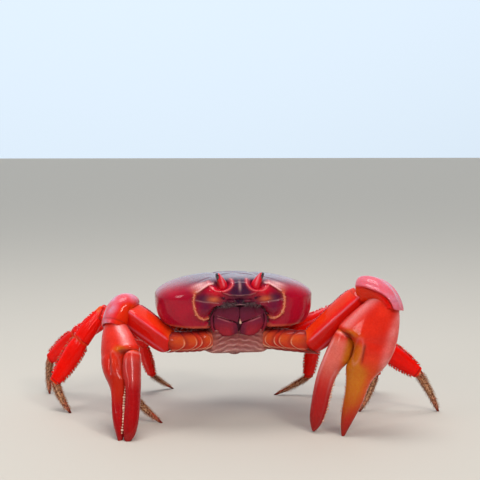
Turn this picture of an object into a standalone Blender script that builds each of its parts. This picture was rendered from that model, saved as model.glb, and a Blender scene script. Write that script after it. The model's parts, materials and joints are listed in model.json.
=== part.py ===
"""A red land crab at life size, standing on its claw tips and walking legs.

The crab faces -Y, its own left side is +X, and +Z is up. Every size below is in
millimetres and is turned into metres as each mesh is made. Limb pieces are lofted
along the line between two joints and mitred where they meet, so that neighbours
stand face to face with a small gap and never overlap.
"""

import math

import bmesh
import bpy
import numpy as np
from mathutils import Vector

# ---------------------------------------------------------------- driving sizes
MM = 0.001
GAP = 0.3                    # clear space between neighbouring pieces
CARAPACE_WIDTH = 100.0
CARAPACE_FRONT = 33.0        # from the widest section to the brow
CARAPACE_BACK = 47.0         # from the widest section to the rear margin
SHOULDER_HEIGHT = 81.0       # the widest line of the carapace above the floor
DOME_RISE = 13.8             # crown above that line
CHEEK_DROP = 27.0            # depth of the swollen sides below that line
CARAPACE_FLOOR = 58.0        # where the carapace ends and the chest begins
CHEST_TOP = CARAPACE_FLOOR - GAP
CHEST_BOTTOM = 46.6
REAR_FALL = 7.0              # how far the widest line sinks towards the rear margin
FLOOR = 0.0

# the curves of the carapace ahead of its widest section and behind it: powers of the
# outline from above, of the crown and of the cheek, each seen from the side
FRONT_POWERS = (2.7, 6.0, 4.0)
BACK_POWERS = (2.1, 2.6, 3.4)
CROWN_POWER = 1.95           # roundness of a slice from in front, above the widest line
CHEEK_POWER = 2.9            # and below it

# ---------------------------------------------------------------- colours
SHELL = ((0.21, 0.006, 0.03), 0.28)
FACE = ((0.13, 0.02, 0.04), 0.35)
LIMB = ((0.70, 0.02, 0.01), 0.30)
HINGE = ((0.55, 0.12, 0.02), 0.40)
BELLY = ((0.32, 0.10, 0.09), 0.45)
EYE = ((0.01, 0.008, 0.012), 0.12)
TIP = ((0.30, 0.05, 0.02), 0.40)


def clear_scene():
    for thing in list(bpy.data.objects):
        bpy.data.objects.remove(thing, do_unlink=True)


def finish_material(name, colour, roughness):
    material = bpy.data.materials.new(name + "_finish")
    material.use_nodes = True
    shader = material.node_tree.nodes["Principled BSDF"]
    shader.inputs["Base Color"].default_value = (*colour, 1.0)
    shader.inputs["Roughness"].default_value = roughness
    shader.inputs["Metallic"].default_value = 0.0
    return material


def node_from(name, bm, look, smooth_deg=40.0):
    """Turn a bmesh in millimetres into a named object in metres."""
    bmesh.ops.scale(bm, vec=(MM, MM, MM), verts=bm.verts)
    bmesh.ops.recalc_face_normals(bm, faces=bm.faces)
    mesh = bpy.data.meshes.new(name)
    bm.to_mesh(mesh)
    bm.free()
    mesh.shade_smooth()
    mesh.set_sharp_from_angle(angle=math.radians(smooth_deg))
    mesh.materials.append(finish_material(name, *look))
    thing = bpy.data.objects.new(name, mesh)
    bpy.context.collection.objects.link(thing)
    return thing


# ---------------------------------------------------------------- lofting
def signed_power(value, power):
    return math.copysign(abs(value) ** power, value)


def section(count, rise, drop, half, power=2.2, taper=0.0):
    """Points round one cross-section, as (side, up) pairs: rise above the axis,
    drop below it, half the width to each side, narrower above when taper > 0."""
    points = []
    for k in range(count):
        turn = 2.0 * math.pi * (k + 0.5) / count
        side = signed_power(math.cos(turn), 2.0 / power)
        up = signed_power(math.sin(turn), 2.0 / power)
        side *= half * (1.0 - taper * up)
        points.append((side, up * (rise if up > 0 else drop)))
    return points


def loft(rings):
    """A closed skin through rings of equal point counts, with flat ends."""
    bm = bmesh.new()
    rows = [[bm.verts.new(point) for point in ring] for ring in rings]
    count = len(rows[0])
    for near, far in zip(rows, rows[1:]):
        for k in range(count):
            following = (k + 1) % count
            bm.faces.new((near[k], near[following], far[following], far[k]))
    bm.faces.new(rows[0][::-1])
    bm.faces.new(rows[-1])
    bmesh.ops.recalc_face_normals(bm, faces=bm.faces)
    return bm


def slice_off(bm, point, outward):
    """Cut away all that lies past a plane and close the cut with a flat face."""
    everything = list(bm.verts) + list(bm.edges) + list(bm.faces)
    cut = bmesh.ops.bisect_plane(
        bm, geom=everything, plane_co=point, plane_no=outward, clear_outer=True
    )
    rim = [item for item in cut["geom_cut"] if isinstance(item, bmesh.types.BMEdge)]
    if rim:
        bmesh.ops.holes_fill(bm, edges=rim, sides=0)


class Axis:
    """A straight stretch of limb: where it starts, its direction and its dorsal side."""

    def __init__(self, start, end, swing):
        self.start = Vector(start)
        self.end = Vector(end)
        self.length = (self.end - self.start).length
        self.along = (self.end - self.start).normalized()
        self.dorsal = self.along.cross(swing).normalized()
        self.side = self.dorsal.cross(self.along).normalized()

    def ring(self, distance, shift, points):
        centre = self.start + self.along * distance + self.dorsal * shift
        return [centre + self.side * side + self.dorsal * up for side, up in points]


def mitre(before, after):
    """The plane that halves the bend between two directions."""
    return (before + after).normalized()


def limb_piece(axis, shape, size, reach, count, power=2.2, taper=0.0):
    """Loft one limb piece. shape rows are (fraction, rise, drop, half, shift), all
    times size; reach is how far each end runs on, for its mitre cut."""
    start_reach, end_reach = reach
    rings = []
    last = len(shape) - 1
    for index, (fraction, rise, drop, half, shift) in enumerate(shape):
        distance = fraction * axis.length
        if index == 0:
            distance -= start_reach
        if index == last:
            distance += end_reach
        outline = section(count, rise * size, drop * size, half * size, power, taper)
        rings.append(axis.ring(distance, shift * size, outline))
    return loft(rings)


def trimmed(bm, start=None, start_plane=None, end=None, end_plane=None):
    """Mitre a piece at its joints, each time half a gap short of the joint."""
    if start is not None:
        slice_off(bm, Vector(start) + start_plane * GAP / 2, -start_plane)
    if end is not None:
        slice_off(bm, Vector(end) - end_plane * GAP / 2, end_plane)
    return bm


# ---------------------------------------------------------------- the carapace
def carapace_section(y, count, grow=0.0):
    """One upright slice of the body across the crab at y."""
    reach = (CARAPACE_BACK if y > 0 else CARAPACE_FRONT) + grow
    share = min(abs(y) / reach, 0.9999)
    plan_power, crown_power, cheek_power = BACK_POWERS if y > 0 else FRONT_POWERS
    half = (CARAPACE_WIDTH / 2 + grow) * (1 - share**plan_power) ** (1 / plan_power)
    rise = (DOME_RISE + grow) * (1 - share**crown_power) ** (1 / crown_power)
    drop = (CHEEK_DROP + grow) * (1 - share**cheek_power) ** (1 / cheek_power)
    shoulder = SHOULDER_HEIGHT - (REAR_FALL * share**2 if y > 0 else 0.0)
    ring = []
    for k in range(count):
        turn = 2.0 * math.pi * (k + 0.5) / count
        power = CROWN_POWER if math.sin(turn) > 0 else CHEEK_POWER
        x = half * signed_power(math.cos(turn), 2.0 / power)
        up = signed_power(math.sin(turn), 2.0 / power)
        ring.append((x, y, shoulder + up * (rise if up > 0 else drop)))
    return ring


# where the carapace is sliced, as shares of its reach ahead (-) and behind (+)
STATIONS = [-0.995, -0.96, -0.89, -0.78, -0.62, -0.42, -0.2, 0.0,
            0.2, 0.4, 0.58, 0.74, 0.87, 0.955, 0.992]
CARAPACE_SIDES = 32          # points round each slice


def carapace_skin(grow=0.0):
    rings = []
    for share in STATIONS:
        reach = (CARAPACE_BACK if share > 0 else CARAPACE_FRONT) + grow
        rings.append(carapace_section(share * reach, CARAPACE_SIDES, grow))
    return loft(rings)


def ellipsoid(centre, radii, columns=16, rows=10):
    bm = bmesh.new()
    bmesh.ops.create_uvsphere(bm, u_segments=columns, v_segments=rows, radius=1.0)
    bmesh.ops.scale(bm, vec=radii, verts=bm.verts)
    bmesh.ops.translate(bm, vec=centre, verts=bm.verts)
    return bm


def face_step():
    """The block cut away in front of the face, which leaves the brow standing out."""
    rings = [[(x, y, z) for y, z in FACE_STEP] for x in (-FACE_STEP_HALF, FACE_STEP_HALF)]
    return loft(rings)


def as_cutter(name, bm):
    bmesh.ops.triangulate(bm, faces=bm.faces)
    cutter = node_from(name, bm, FACE)
    cutter.hide_render = True
    cutter.display_type = "WIRE"
    return cutter


def cut_with(thing, cutter):
    modifier = thing.modifiers.new(cutter.name, "BOOLEAN")
    modifier.operation = "DIFFERENCE"
    modifier.solver = "EXACT"
    modifier.object = cutter


# ---------------------------------------------------------------- eyes and mouth
EYE_ROOT = (10.6, -27.0, 84.6)
EYE_TIP = (12.9, -30.2, 97.0)
ORBIT_CENTRE = (15.2, -32.5, 88.6)
ORBIT_RADII = (9.0, 7.0, 5.4)
MOUTH_HALF = 15.8
MOUTH_TOP = 77.6
MOUTH_DEPTH = -24.0          # how far back the mouth frame is sunk
FEELER_ROOT = (8.6, -32.0, 80.4)
FEELER_TIP = (11.8, -36.4, 82.4)
EYE_RADII = [(-0.02, 1.9), (0.2, 2.4), (0.45, 2.5), (0.66, 2.35), (0.82, 1.9), (0.94, 1.2)]
EYE_TIP_RADIUS = 0.4
FEELER_RADII = [(0.0, 0.75), (0.35, 0.6), (0.7, 0.45), (1.0, 0.3)]
JAW_MIDDLE_GAP = 0.35        # half the slit between the two jaw plates
JAW_HOLLOW = 1.9             # how far the slit opens, part of the way up
JAW_FRONT = -31.9
JAW_RECEDE = 2.8             # how far the plates fall back towards the chest
JAW_BOW = 1.3
JAW_LEVELS = 9
# the face below the brow, as seen from the side: (y, z) round the block cut away
FACE_STEP = [(-44.0, 83.8), (-30.8, 82.8), (-30.0, 71.0), (-26.8, 56.0), (-44.0, 56.0)]
FACE_STEP_HALF = 42.0


def mirrored(point, side):
    return (point[0] * side, point[1], point[2])


def eye_body(side, grow=0.0):
    """A short stalk that swells into the cornea, leaning forwards and outwards."""
    axis = Axis(mirrored(EYE_ROOT, side), mirrored(EYE_TIP, side), Vector((1, 0, 0)))
    rings = []
    for index, (share, radius) in enumerate(EYE_RADII):
        size = radius + grow
        start = grow if index == 0 else 0.0
        outline = section(10, size, size, size, 2.0)
        rings.append(axis.ring(share * axis.length - start, 0.0, outline))
    end = section(10, EYE_TIP_RADIUS, EYE_TIP_RADIUS, EYE_TIP_RADIUS, 2.0)
    rings.append(axis.ring(axis.length + grow, 0.0, end))
    return loft(rings)


def feeler_body(side):
    axis = Axis(mirrored(FEELER_ROOT, side), mirrored(FEELER_TIP, side), Vector((1, 0, 0)))
    rings = []
    for share, radius in FEELER_RADII:
        outline = section(6, radius, radius, radius, 2.0)
        rings.append(axis.ring(share * axis.length, 0.0, outline))
    return loft(rings)


def jaw_ring(z, side, grow):
    """One level slice of a third maxilliped, a plate bowed forwards and outwards."""
    share = (z - CARAPACE_FLOOR) / (MOUTH_TOP - CARAPACE_FLOOR)
    inner = JAW_MIDDLE_GAP + JAW_HOLLOW * math.exp(-(((share - 0.3) / 0.13) ** 2)) - grow
    outer = (MOUTH_HALF - GAP) * (1.0 - 0.5 * max(0.0, share - 0.45) ** 1.6) + grow
    front = JAW_FRONT + JAW_RECEDE * (1.0 - share) ** 2 - grow
    back = MOUTH_DEPTH - GAP + grow
    corners = [
        (inner, back),
        (inner, front + 0.4 * JAW_BOW),
        (inner + 0.3 * (outer - inner), front),
        (inner + 0.7 * (outer - inner), front + 0.5 * JAW_BOW),
        (outer, front + 2.4 * JAW_BOW),
        (outer, back),
    ]
    return [(x * side, y, z) for x, y in corners]


def jaw_body(side, grow=0.0):
    low = CARAPACE_FLOOR - grow
    high = MOUTH_TOP - GAP + grow
    return loft([jaw_ring(z, side, grow) for z in np.linspace(low, high, JAW_LEVELS)])


# ---------------------------------------------------------------- chest
# Where each limb leaves the chest: half width, y and the way that its root faces,
# in degrees ahead (+) or behind (-) straight sideways. First the claw arm, then
# the four walking legs.
ROOTS = [(18.4, -19.2, 34.0), (24.6, -7.8, 14.0), (26.6, 3.0, 0.0),
         (25.0, 13.6, -20.0), (19.4, 23.0, -42.0)]
ROOT_HEIGHT = 52.2
CHEST_BLOCK = (80.0, 60.0)   # width and length of the block that the chest is cut from
CHEST_MIDDLE = 4.0           # y of its middle
# the sloping cuts that shape it: a place on each plane and the way that it faces
CHEST_FRONT = ((0.0, -25.0, 57.0), (0.0, -1.0, -0.25))
CHEST_REAR = ((0.0, 27.5, 52.0), (0.0, 1.0, -0.2))
KEEL_HALF = 14.0             # half width of the flat strip below the chest
KEEL_SLOPE = 0.16            # how steeply the underside rises beside it


def root_of(index, side):
    half, y, _ = ROOTS[index]
    return Vector((half * side, y, ROOT_HEIGHT))


def root_facing(index, side):
    ahead = math.radians(ROOTS[index][2])
    return Vector((math.cos(ahead) * side, -math.sin(ahead), 0.0))


def chest_body():
    bm = bmesh.new()
    bmesh.ops.create_cube(bm, size=1.0)
    height = CHEST_TOP - CHEST_BOTTOM
    bmesh.ops.scale(bm, vec=(*CHEST_BLOCK, height), verts=bm.verts)
    middle = (0.0, CHEST_MIDDLE, CHEST_BOTTOM + height / 2)
    bmesh.ops.translate(bm, vec=middle, verts=bm.verts)
    for side in (-1, 1):
        for index in range(len(ROOTS)):
            slice_off(bm, root_of(index, side), root_facing(index, side))
    for place, outward in (CHEST_FRONT, CHEST_REAR):
        slice_off(bm, Vector(place), Vector(outward))
    for side in (-1, 1):
        edge = Vector((KEEL_HALF * side, 0, CHEST_BOTTOM))
        slice_off(bm, edge, Vector((KEEL_SLOPE * side, 0, -1)))
    return bm


# the line of the tail flap from its root to its tip: y, z, half width, half thickness
FLAP_PATH = [(48.6, 66.0, 9.0, 1.5), (47.6, 60.0, 12.0, 1.6), (43.6, 52.6, 12.0, 1.6),
             (35.0, 46.4, 10.8, 1.6), (24.0, 44.4, 9.6, 1.5), (12.0, 44.2, 8.2, 1.5),
             (0.0, 44.2, 6.0, 1.4), (-9.0, 44.3, 3.2, 1.2)]


def tail_flap_body():
    """The abdomen, folded under the chest from the rear margin of the carapace."""
    rings = []
    for index, (y, z, half, thick) in enumerate(FLAP_PATH):
        before = FLAP_PATH[max(index - 1, 0)]
        after = FLAP_PATH[min(index + 1, len(FLAP_PATH) - 1)]
        along = Vector((0, after[0] - before[0], after[1] - before[1])).normalized()
        out = Vector((0, along.z, -along.y))
        centre = Vector((0, y, z))
        ring = []
        for across, up in section(12, thick, thick, half, 2.6):
            ring.append(centre + Vector((across, 0, 0)) + out * up)
        rings.append(ring)
    return loft(rings)


# ---------------------------------------------------------------- walking legs
# Joints of each leg from its knee down: knee, wrist, ankle and toe. r is the
# crab's own right (-X), l its left, and 1 to 4 run from front to back.
LEG_JOINTS = {
    "r1": [(-67, 11, 58), (-73, 9, 43), (-67, 2, 19), (-47, -7, 0)],
    "r2": [(-84, 32, 65), (-97, 34, 47), (-115, 36, 19), (-105, 25, 0)],
    "r3": [(-80, 51, 57), (-101, 67, 43), (-120, 82, 25), (-121, 80, 0)],
    "r4": [(-49, 54, 50), (-56, 66, 37), (-49, 74, 13), (-33, 83, 0)],
    "l1": [(81, -9, 68), (96, -7, 46), (122, -5, 27), (137, -4, 0)],
    "l2": [(78, 9, 68), (97, 7, 53), (96, 6, 24), (85, 2, 0)],
    "l3": [(80, 27, 64), (101, 37, 50), (103, 52, 18), (95, 61, 0)],
    "l4": [(57, 40, 54), (63, 45, 39), (60, 48, 14), (37, 54, 0)],
}
LEG_SIZE = {"1": 1.0, "2": 1.04, "3": 1.0, "4": 0.86}
ROOT_LENGTH = 11.5
JOINT_DEPTHS = [4.6, 5.6, 5.2, 3.5]      # half height of a leg at hip, knee, wrist, ankle
LEG_PEAK = 5.6                           # how far a bend may stand out from its joint
RUN_ON = 4.0                             # a root runs on so far, to be cut by its mitre
# rows: share of the length, rise, drop, half width
LEG_ROOT_SHAPE = [(0.0, 4.6, 4.6, 4.4), (0.3, 5.0, 5.0, 4.6), (0.42, 4.3, 4.3, 4.0),
                  (0.7, 4.5, 4.5, 3.8), (1.0, 4.0, 4.0, 3.0)]

# rows: share of the length, rise, drop, half width, shift to the dorsal side
MERUS_SHAPE = [(0.0, 4.2, 4.4, 2.9, 0), (0.14, 5.6, 5.8, 3.4, 0), (0.4, 6.8, 6.8, 3.8, 0),
               (0.7, 6.8, 6.4, 3.8, 0), (0.9, 6.0, 5.6, 3.6, 0), (1.0, 5.2, 5.0, 3.4, 0)]
CARPUS_SHAPE = [(0.0, 4.8, 4.8, 3.3, 0), (0.25, 5.6, 5.2, 3.5, 0), (0.6, 6.6, 5.9, 3.7, 0),
                (0.86, 6.8, 6.4, 3.7, 0), (1.0, 6.2, 6.0, 3.4, 0)]
PROPODUS_SHAPE = [(0.0, 5.8, 5.8, 3.2, 0), (0.2, 6.6, 6.8, 3.4, 0), (0.5, 6.2, 6.7, 3.4, 0),
                  (0.8, 4.9, 5.4, 3.0, 0), (1.0, 3.6, 3.9, 2.5, 0)]
DACTYLUS_SHAPE = [(0.0, 3.1, 3.2, 2.4, 0), (0.16, 3.1, 3.1, 2.3, 0.3),
                  (0.4, 2.7, 2.7, 2.0, 0.8), (0.65, 2.1, 2.1, 1.6, 0.8),
                  (0.86, 1.5, 1.5, 1.15, 0.3), (1.0, 1.0, 1.0, 0.8, -0.3)]


def curved_base(start, facing, end, sizes, count, power):
    """A short run of ringed pieces that turns from the chest towards the arm."""
    start, end = Vector(start), Vector(end)
    middle = start + facing * (end - start).length * 0.5
    rings = []
    for share, rise, drop, half in sizes:
        a, b, c = (1 - share) ** 2, 2 * share * (1 - share), share**2
        centre = start * a + middle * b + end * c
        tangent = (middle - start) * (1 - share) + (end - middle) * share
        axis = Axis(centre, centre + tangent, tangent.cross(Vector((0, 0, 1))))
        rings.append(axis.ring(0.0, 0.0, section(count, rise, drop, half, power)))
    run_on = (end - middle).normalized()
    tail = [point + run_on * RUN_ON for point in rings[-1]]
    return loft([*rings, tail]), run_on


def round_peak(bm, joint, before, after, height):
    """Take the sharp outer peak off a mitred bend, height out from the joint."""
    outward = (before - after).normalized()
    slice_off(bm, Vector(joint) + outward * height, outward)


def reach_at(bend, depth):
    """How far an end must run on to be cut whole by the mitre of a bend."""
    return depth * math.tan(bend / 2.0) + 0.6


def walking_leg(key):
    side = -1 if key[0] == "r" else 1
    order = int(key[1])
    size = LEG_SIZE[key[1]]
    root = root_of(order, side)
    facing = root_facing(order, side)
    knee, wrist, ankle, toe = (Vector(point) for point in LEG_JOINTS[key])
    outward = Vector((knee.x - root.x, knee.y - root.y, 0.0)).normalized()
    hip = root + (facing + outward).normalized() * ROOT_LENGTH + Vector((0, 0, 1.0))

    base, base_along = curved_base(root, facing, hip, LEG_ROOT_SHAPE, 8, 2.4)
    joints = [hip, knee, wrist, ankle, toe]
    swing = (knee - hip).cross(toe - knee)
    axes = [Axis(a, b, swing) for a, b in zip(joints, joints[1:])]
    ways = [base_along] + [axis.along for axis in axes]
    planes = [mitre(a, b) for a, b in zip(ways, ways[1:])]
    bends = [a.angle(b) for a, b in zip(ways, ways[1:])]
    depths = [depth * size for depth in JOINT_DEPTHS]

    name = f"leg_{key}"
    slice_off(base, root + facing * GAP, -facing)
    node_from(f"{name}_base", trimmed(base, end=hip, end_plane=planes[0]), HINGE)
    shapes = {"merus": (MERUS_SHAPE, 10, 0.25), "carpus": (CARPUS_SHAPE, 10, 0.1),
              "propodus": (PROPODUS_SHAPE, 10, 0.0), "dactylus": (DACTYLUS_SHAPE, 8, 0.0)}
    for index, (part, (shape, count, taper)) in enumerate(shapes.items()):
        near = reach_at(bends[index], depths[index])
        far = reach_at(bends[index + 1], depths[index + 1]) if index < 3 else 2.0
        bm = limb_piece(axes[index], shape, size, (near, far), count, 2.2, taper)
        trimmed(bm, start=joints[index], start_plane=planes[index])
        if index > 0:
            round_peak(bm, joints[index], ways[index], ways[index + 1], LEG_PEAK * size)
        if index < 3:
            trimmed(bm, end=joints[index + 1], end_plane=planes[index + 1])
            round_peak(bm, joints[index + 1], ways[index + 1], ways[index + 2], LEG_PEAK * size)
        else:
            slice_off(bm, Vector((0, 0, FLOOR)), Vector((0, 0, -1)))
        node_from(f"{name}_{part}", bm, TIP if part == "dactylus" else LIMB)


# ---------------------------------------------------------------- claws
# One claw is drawn in its own plane: distance from the wrist towards the tip of
# the fixed finger, then height towards the movable finger.
PALM_SHAPE = [  # distance, upper edge, lower edge, half thickness
    (0.0, 8.5, 6.5, 6.5), (4.0, 13.6, 9.6, 8.2), (12.0, 18.0, 11.7, 10.0),
    (19.0, 21.0, 11.6, 10.4), (24.0, 21.6, 11.2, 10.2), (26.2, 12.6, 10.9, 9.8),
    (36.0, 11.0, 9.2, 8.6), (46.0, 10.0, 6.6, 7.0), (55.0, 7.8, 5.0, 5.8),
    (64.0, 6.8, 4.0, 4.8), (73.0, 5.2, 2.9, 3.8), (79.0, 3.9, 2.0, 2.9), (83.0, 2.4, 1.3, 2.0),
    (87.0, 0.9, 0.6, 1.0)]
FINGER_SHAPE = [  # distance, height of the middle line, half height, half thickness
    (25.9, 17.4, 3.4, 5.0), (28.0, 18.9, 5.3, 6.4), (34.0, 20.4, 6.9, 7.2),
    (42.0, 20.6, 6.9, 6.9), (54.0, 20.6, 6.0, 5.9), (64.0, 20.1, 5.1, 5.0),
    (73.0, 19.2, 4.5, 4.3), (80.0, 18.1, 3.9, 3.6), (84.5, 17.2, 3.1, 2.8), (87.6, 16.3, 2.0, 1.9),
    (91.5, 15.2, 0.9, 0.9)]
FINGER_HINGE = (27.0, 14.0)
ARM_SHAPE = [(0.0, 6.8, 6.4, 5.4, 0), (0.18, 7.6, 7.2, 6.4, 0), (0.5, 9.0, 8.8, 7.4, 0),
             (0.8, 10.0, 10.4, 8.2, 0), (1.0, 9.6, 10.6, 8.2, 0)]
ELBOW_SHAPE = [(0.0, 10.4, 8.6, 8.6, 0), (0.3, 13.0, 9.0, 10.2, 0), (0.7, 13.2, 9.0, 10.4, 0),
               (1.0, 11.2, 8.6, 9.2, 0)]
CLAW_ROOT_SHAPE = [(0.0, 5.2, 5.4, 5.2), (0.16, 6.0, 6.0, 5.9), (0.3, 5.4, 5.6, 5.4),
                   (0.46, 6.2, 6.2, 6.0), (0.6, 5.7, 5.8, 5.4), (0.78, 6.6, 6.4, 5.8),
                   (1.0, 6.4, 6.2, 5.2)]
CLAW_LENGTH = 84.0           # wrist to fixed finger tip, as drawn
ARM_DEPTH = 12.0             # half height of the arm where it bends
ELBOW_PEAK = 9.5             # how far the elbow and the wrist may stand out
WRIST_PEAK = 11.0
# Joint places of each claw arm, the way that its movable finger lies from the fixed
# one, its size and depth against the drawing, and how far the finger is turned shut.
CLAWS = {
    "left": {"side": 1, "shoulder": (42, -28, 55), "elbow": (73, -34, 84),
             "wrist": (86.5, -49, 79), "tip": (62, -51, 0), "towards": (-16.0, 8.5, 0.0),
             "size": 1.0, "depth": 1.0, "elbow_size": 1.0, "gape": 0.0},
    "right": {"side": -1, "shoulder": (-40, -16.5, 54), "elbow": (-67.5, 0, 71.5),
              "wrist": (-76, -6, 63), "tip": (-74, -41, 0), "towards": (20.0, -16.0, 0.0),
              "size": 0.87, "depth": 0.7, "elbow_size": 0.95, "gape": -9.5},
}


def claw_ring(axis, distance, upper, lower, half, count):
    """A rounded slice of the claw between its upper and lower edges."""
    middle = (upper - lower) / 2
    tall = (upper + lower) / 2
    return axis.ring(distance, middle, section(count, tall, tall, half, 2.3))


def claw_arm(name):
    """Make one claw and its arm, and give back the merus, which passes the cheek."""
    claw = CLAWS[name]
    side, size, depth = claw["side"], claw["size"], claw["depth"]
    stout = claw["elbow_size"]
    root, facing = root_of(0, side), root_facing(0, side)
    shoulder, elbow, wrist, tip = (
        Vector(claw[key]) for key in ("shoulder", "elbow", "wrist", "tip")
    )
    base, base_along = curved_base(root, facing, shoulder, CLAW_ROOT_SHAPE, 12, 2.4)
    hand = Axis(wrist, tip, Vector(claw["towards"]).cross(tip - wrist))
    swing = (elbow - shoulder).cross(tip - wrist)
    arm = Axis(shoulder, elbow, swing)
    bend_piece = Axis(elbow, wrist, swing)
    ways = [base_along, arm.along, bend_piece.along, hand.along]
    planes = [mitre(a, b) for a, b in zip(ways, ways[1:])]
    bends = [a.angle(b) for a, b in zip(ways, ways[1:])]
    reaches = [reach_at(bend, ARM_DEPTH * size) for bend in bends]

    slice_off(base, root + facing * GAP, -facing)
    slice_off(base, Vector((0, 0, CHEST_TOP)), Vector((0, 0, 1)))
    node_from(f"claw_{name}_base", trimmed(base, end=shoulder, end_plane=planes[0]), HINGE)

    merus = limb_piece(arm, ARM_SHAPE, size, (reaches[0], reaches[1]), 12, 2.3, 0.42)
    trimmed(merus, shoulder, planes[0], elbow, planes[1])
    round_peak(merus, elbow, arm.along, bend_piece.along, ELBOW_PEAK * size)
    arm_node = node_from(f"claw_{name}_merus", merus, LIMB)

    carpus = limb_piece(bend_piece, ELBOW_SHAPE, stout, (reaches[1], reaches[2]), 14, 2.4, 0.2)
    trimmed(carpus, elbow, planes[1], wrist, planes[2])
    round_peak(carpus, elbow, arm.along, bend_piece.along, ELBOW_PEAK * stout)
    round_peak(carpus, wrist, bend_piece.along, hand.along, WRIST_PEAK * stout)
    node_from(f"claw_{name}_carpus", carpus, LIMB)

    stretch = (tip - wrist).length / CLAW_LENGTH
    rings = []
    for index, (distance, upper, lower, half) in enumerate(PALM_SHAPE):
        run = distance * stretch - (reaches[2] * 0.6 if index == 0 else 0.0)
        rings.append(claw_ring(hand, run, upper * depth, lower * depth, half * size, 16))
    palm = loft(rings)
    trimmed(palm, start=wrist, start_plane=planes[2])
    slice_off(palm, Vector((0, 0, FLOOR)), Vector((0, 0, -1)))
    node_from(f"claw_{name}_palm", palm, LIMB)

    hinge_run, hinge_up = FINGER_HINGE
    turn = math.radians(claw["gape"])
    rings = []
    for distance, middle, tall, half in FINGER_SHAPE:
        run, up = distance - hinge_run, middle - hinge_up
        turned_run = hinge_run + run * math.cos(turn) - up * math.sin(turn)
        turned_up = hinge_up + run * math.sin(turn) + up * math.cos(turn)
        outline = section(12, tall * depth, tall * depth, half * size, 2.2)
        rings.append(hand.ring(turned_run * stretch, turned_up * depth, outline))
    finger = loft(rings)
    slice_off(finger, Vector((0, 0, FLOOR)), Vector((0, 0, -1)))
    node_from(f"claw_{name}_dactylus", finger, LIMB)
    return arm_node


# ---------------------------------------------------------------- assembly
def put_on_floor():
    """Move the whole crab so that its box stands centred on the origin."""
    bpy.context.view_layer.update()
    corners = []
    for thing in bpy.data.objects:
        if not thing.hide_render:
            corners += [thing.matrix_world @ Vector(corner) for corner in thing.bound_box]
    low = Vector(min(corner[axis] for corner in corners) for axis in range(3))
    high = Vector(max(corner[axis] for corner in corners) for axis in range(3))
    shift = Vector(((low.x + high.x) / 2, (low.y + high.y) / 2, low.z))
    for thing in bpy.data.objects:
        thing.location -= shift


def main():
    clear_scene()
    shell = carapace_skin()
    slice_off(shell, Vector((0, 0, CARAPACE_FLOOR)), Vector((0, 0, -1)))
    carapace = node_from("carapace", shell, SHELL)
    cut_with(carapace, as_cutter("face_step", face_step()))
    for side, name in ((-1, "right"), (1, "left")):
        socket = ellipsoid(mirrored(ORBIT_CENTRE, side), ORBIT_RADII)
        cut_with(carapace, as_cutter(f"orbit_{name}", socket))
        cut_with(carapace, as_cutter(f"eye_room_{name}", eye_body(side, GAP * 1.6)))
        cut_with(carapace, as_cutter(f"jaw_room_{name}", jaw_body(side, GAP * 1.2)))
        node_from(f"eye_{name}", eye_body(side), EYE)
        node_from(f"antenna_{name}", feeler_body(side), HINGE)
        node_from(f"maxilliped_{name}", jaw_body(side), FACE)
    node_from("thorax", chest_body(), BELLY)
    flap = node_from("abdomen", tail_flap_body(), BELLY)
    room = carapace_skin(GAP)
    slice_off(room, Vector((0, 0, CHEST_TOP)), Vector((0, 0, -1)))
    carapace_room = as_cutter("carapace_room", room)
    cut_with(flap, carapace_room)
    for name in CLAWS:
        cut_with(claw_arm(name), carapace_room)
    for key in LEG_JOINTS:
        walking_leg(key)
    put_on_floor()


main()
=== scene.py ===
# %% [markdown]
# # A red land crab at life size
#
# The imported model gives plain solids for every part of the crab: shell, eyes, jaws,
# two claws and eight legs. This lesson keeps their places and sizes and puts finished
# pieces over them, with real shell shapes, joints, teeth, spines, bristles and paint.
# It starts by loading that frame, which stays fixed from here on.

# %% Load the frame
import json
import math

import bpy
import numpy as np
from mathutils import Matrix, Vector

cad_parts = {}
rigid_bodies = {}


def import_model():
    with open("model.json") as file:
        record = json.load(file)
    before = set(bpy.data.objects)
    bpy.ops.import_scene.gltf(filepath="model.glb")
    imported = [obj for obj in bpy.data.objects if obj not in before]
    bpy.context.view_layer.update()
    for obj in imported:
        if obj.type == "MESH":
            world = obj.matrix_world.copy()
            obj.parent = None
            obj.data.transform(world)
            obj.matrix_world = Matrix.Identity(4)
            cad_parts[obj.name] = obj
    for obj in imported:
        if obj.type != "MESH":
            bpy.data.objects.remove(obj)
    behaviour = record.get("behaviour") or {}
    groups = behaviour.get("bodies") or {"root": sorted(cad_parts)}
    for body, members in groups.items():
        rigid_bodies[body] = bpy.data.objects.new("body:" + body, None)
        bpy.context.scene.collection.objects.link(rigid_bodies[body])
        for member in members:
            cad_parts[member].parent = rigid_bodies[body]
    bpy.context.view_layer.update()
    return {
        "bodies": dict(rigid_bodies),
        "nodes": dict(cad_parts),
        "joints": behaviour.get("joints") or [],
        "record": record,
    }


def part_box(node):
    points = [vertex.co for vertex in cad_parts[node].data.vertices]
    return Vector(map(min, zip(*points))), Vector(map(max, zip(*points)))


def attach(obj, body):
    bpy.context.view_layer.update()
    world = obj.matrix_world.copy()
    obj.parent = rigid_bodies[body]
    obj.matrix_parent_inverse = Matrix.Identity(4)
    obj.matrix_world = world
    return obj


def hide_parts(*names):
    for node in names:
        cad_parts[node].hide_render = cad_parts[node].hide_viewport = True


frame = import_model()

# %% [markdown]
# The crab is drawn in its own frame: it faces -Y, its left is +X, and the widest
# line of its shell crosses y = 0. Sizes below are in millimetres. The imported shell
# tells where that frame lies in the row, so every place is worked out from it.

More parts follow.
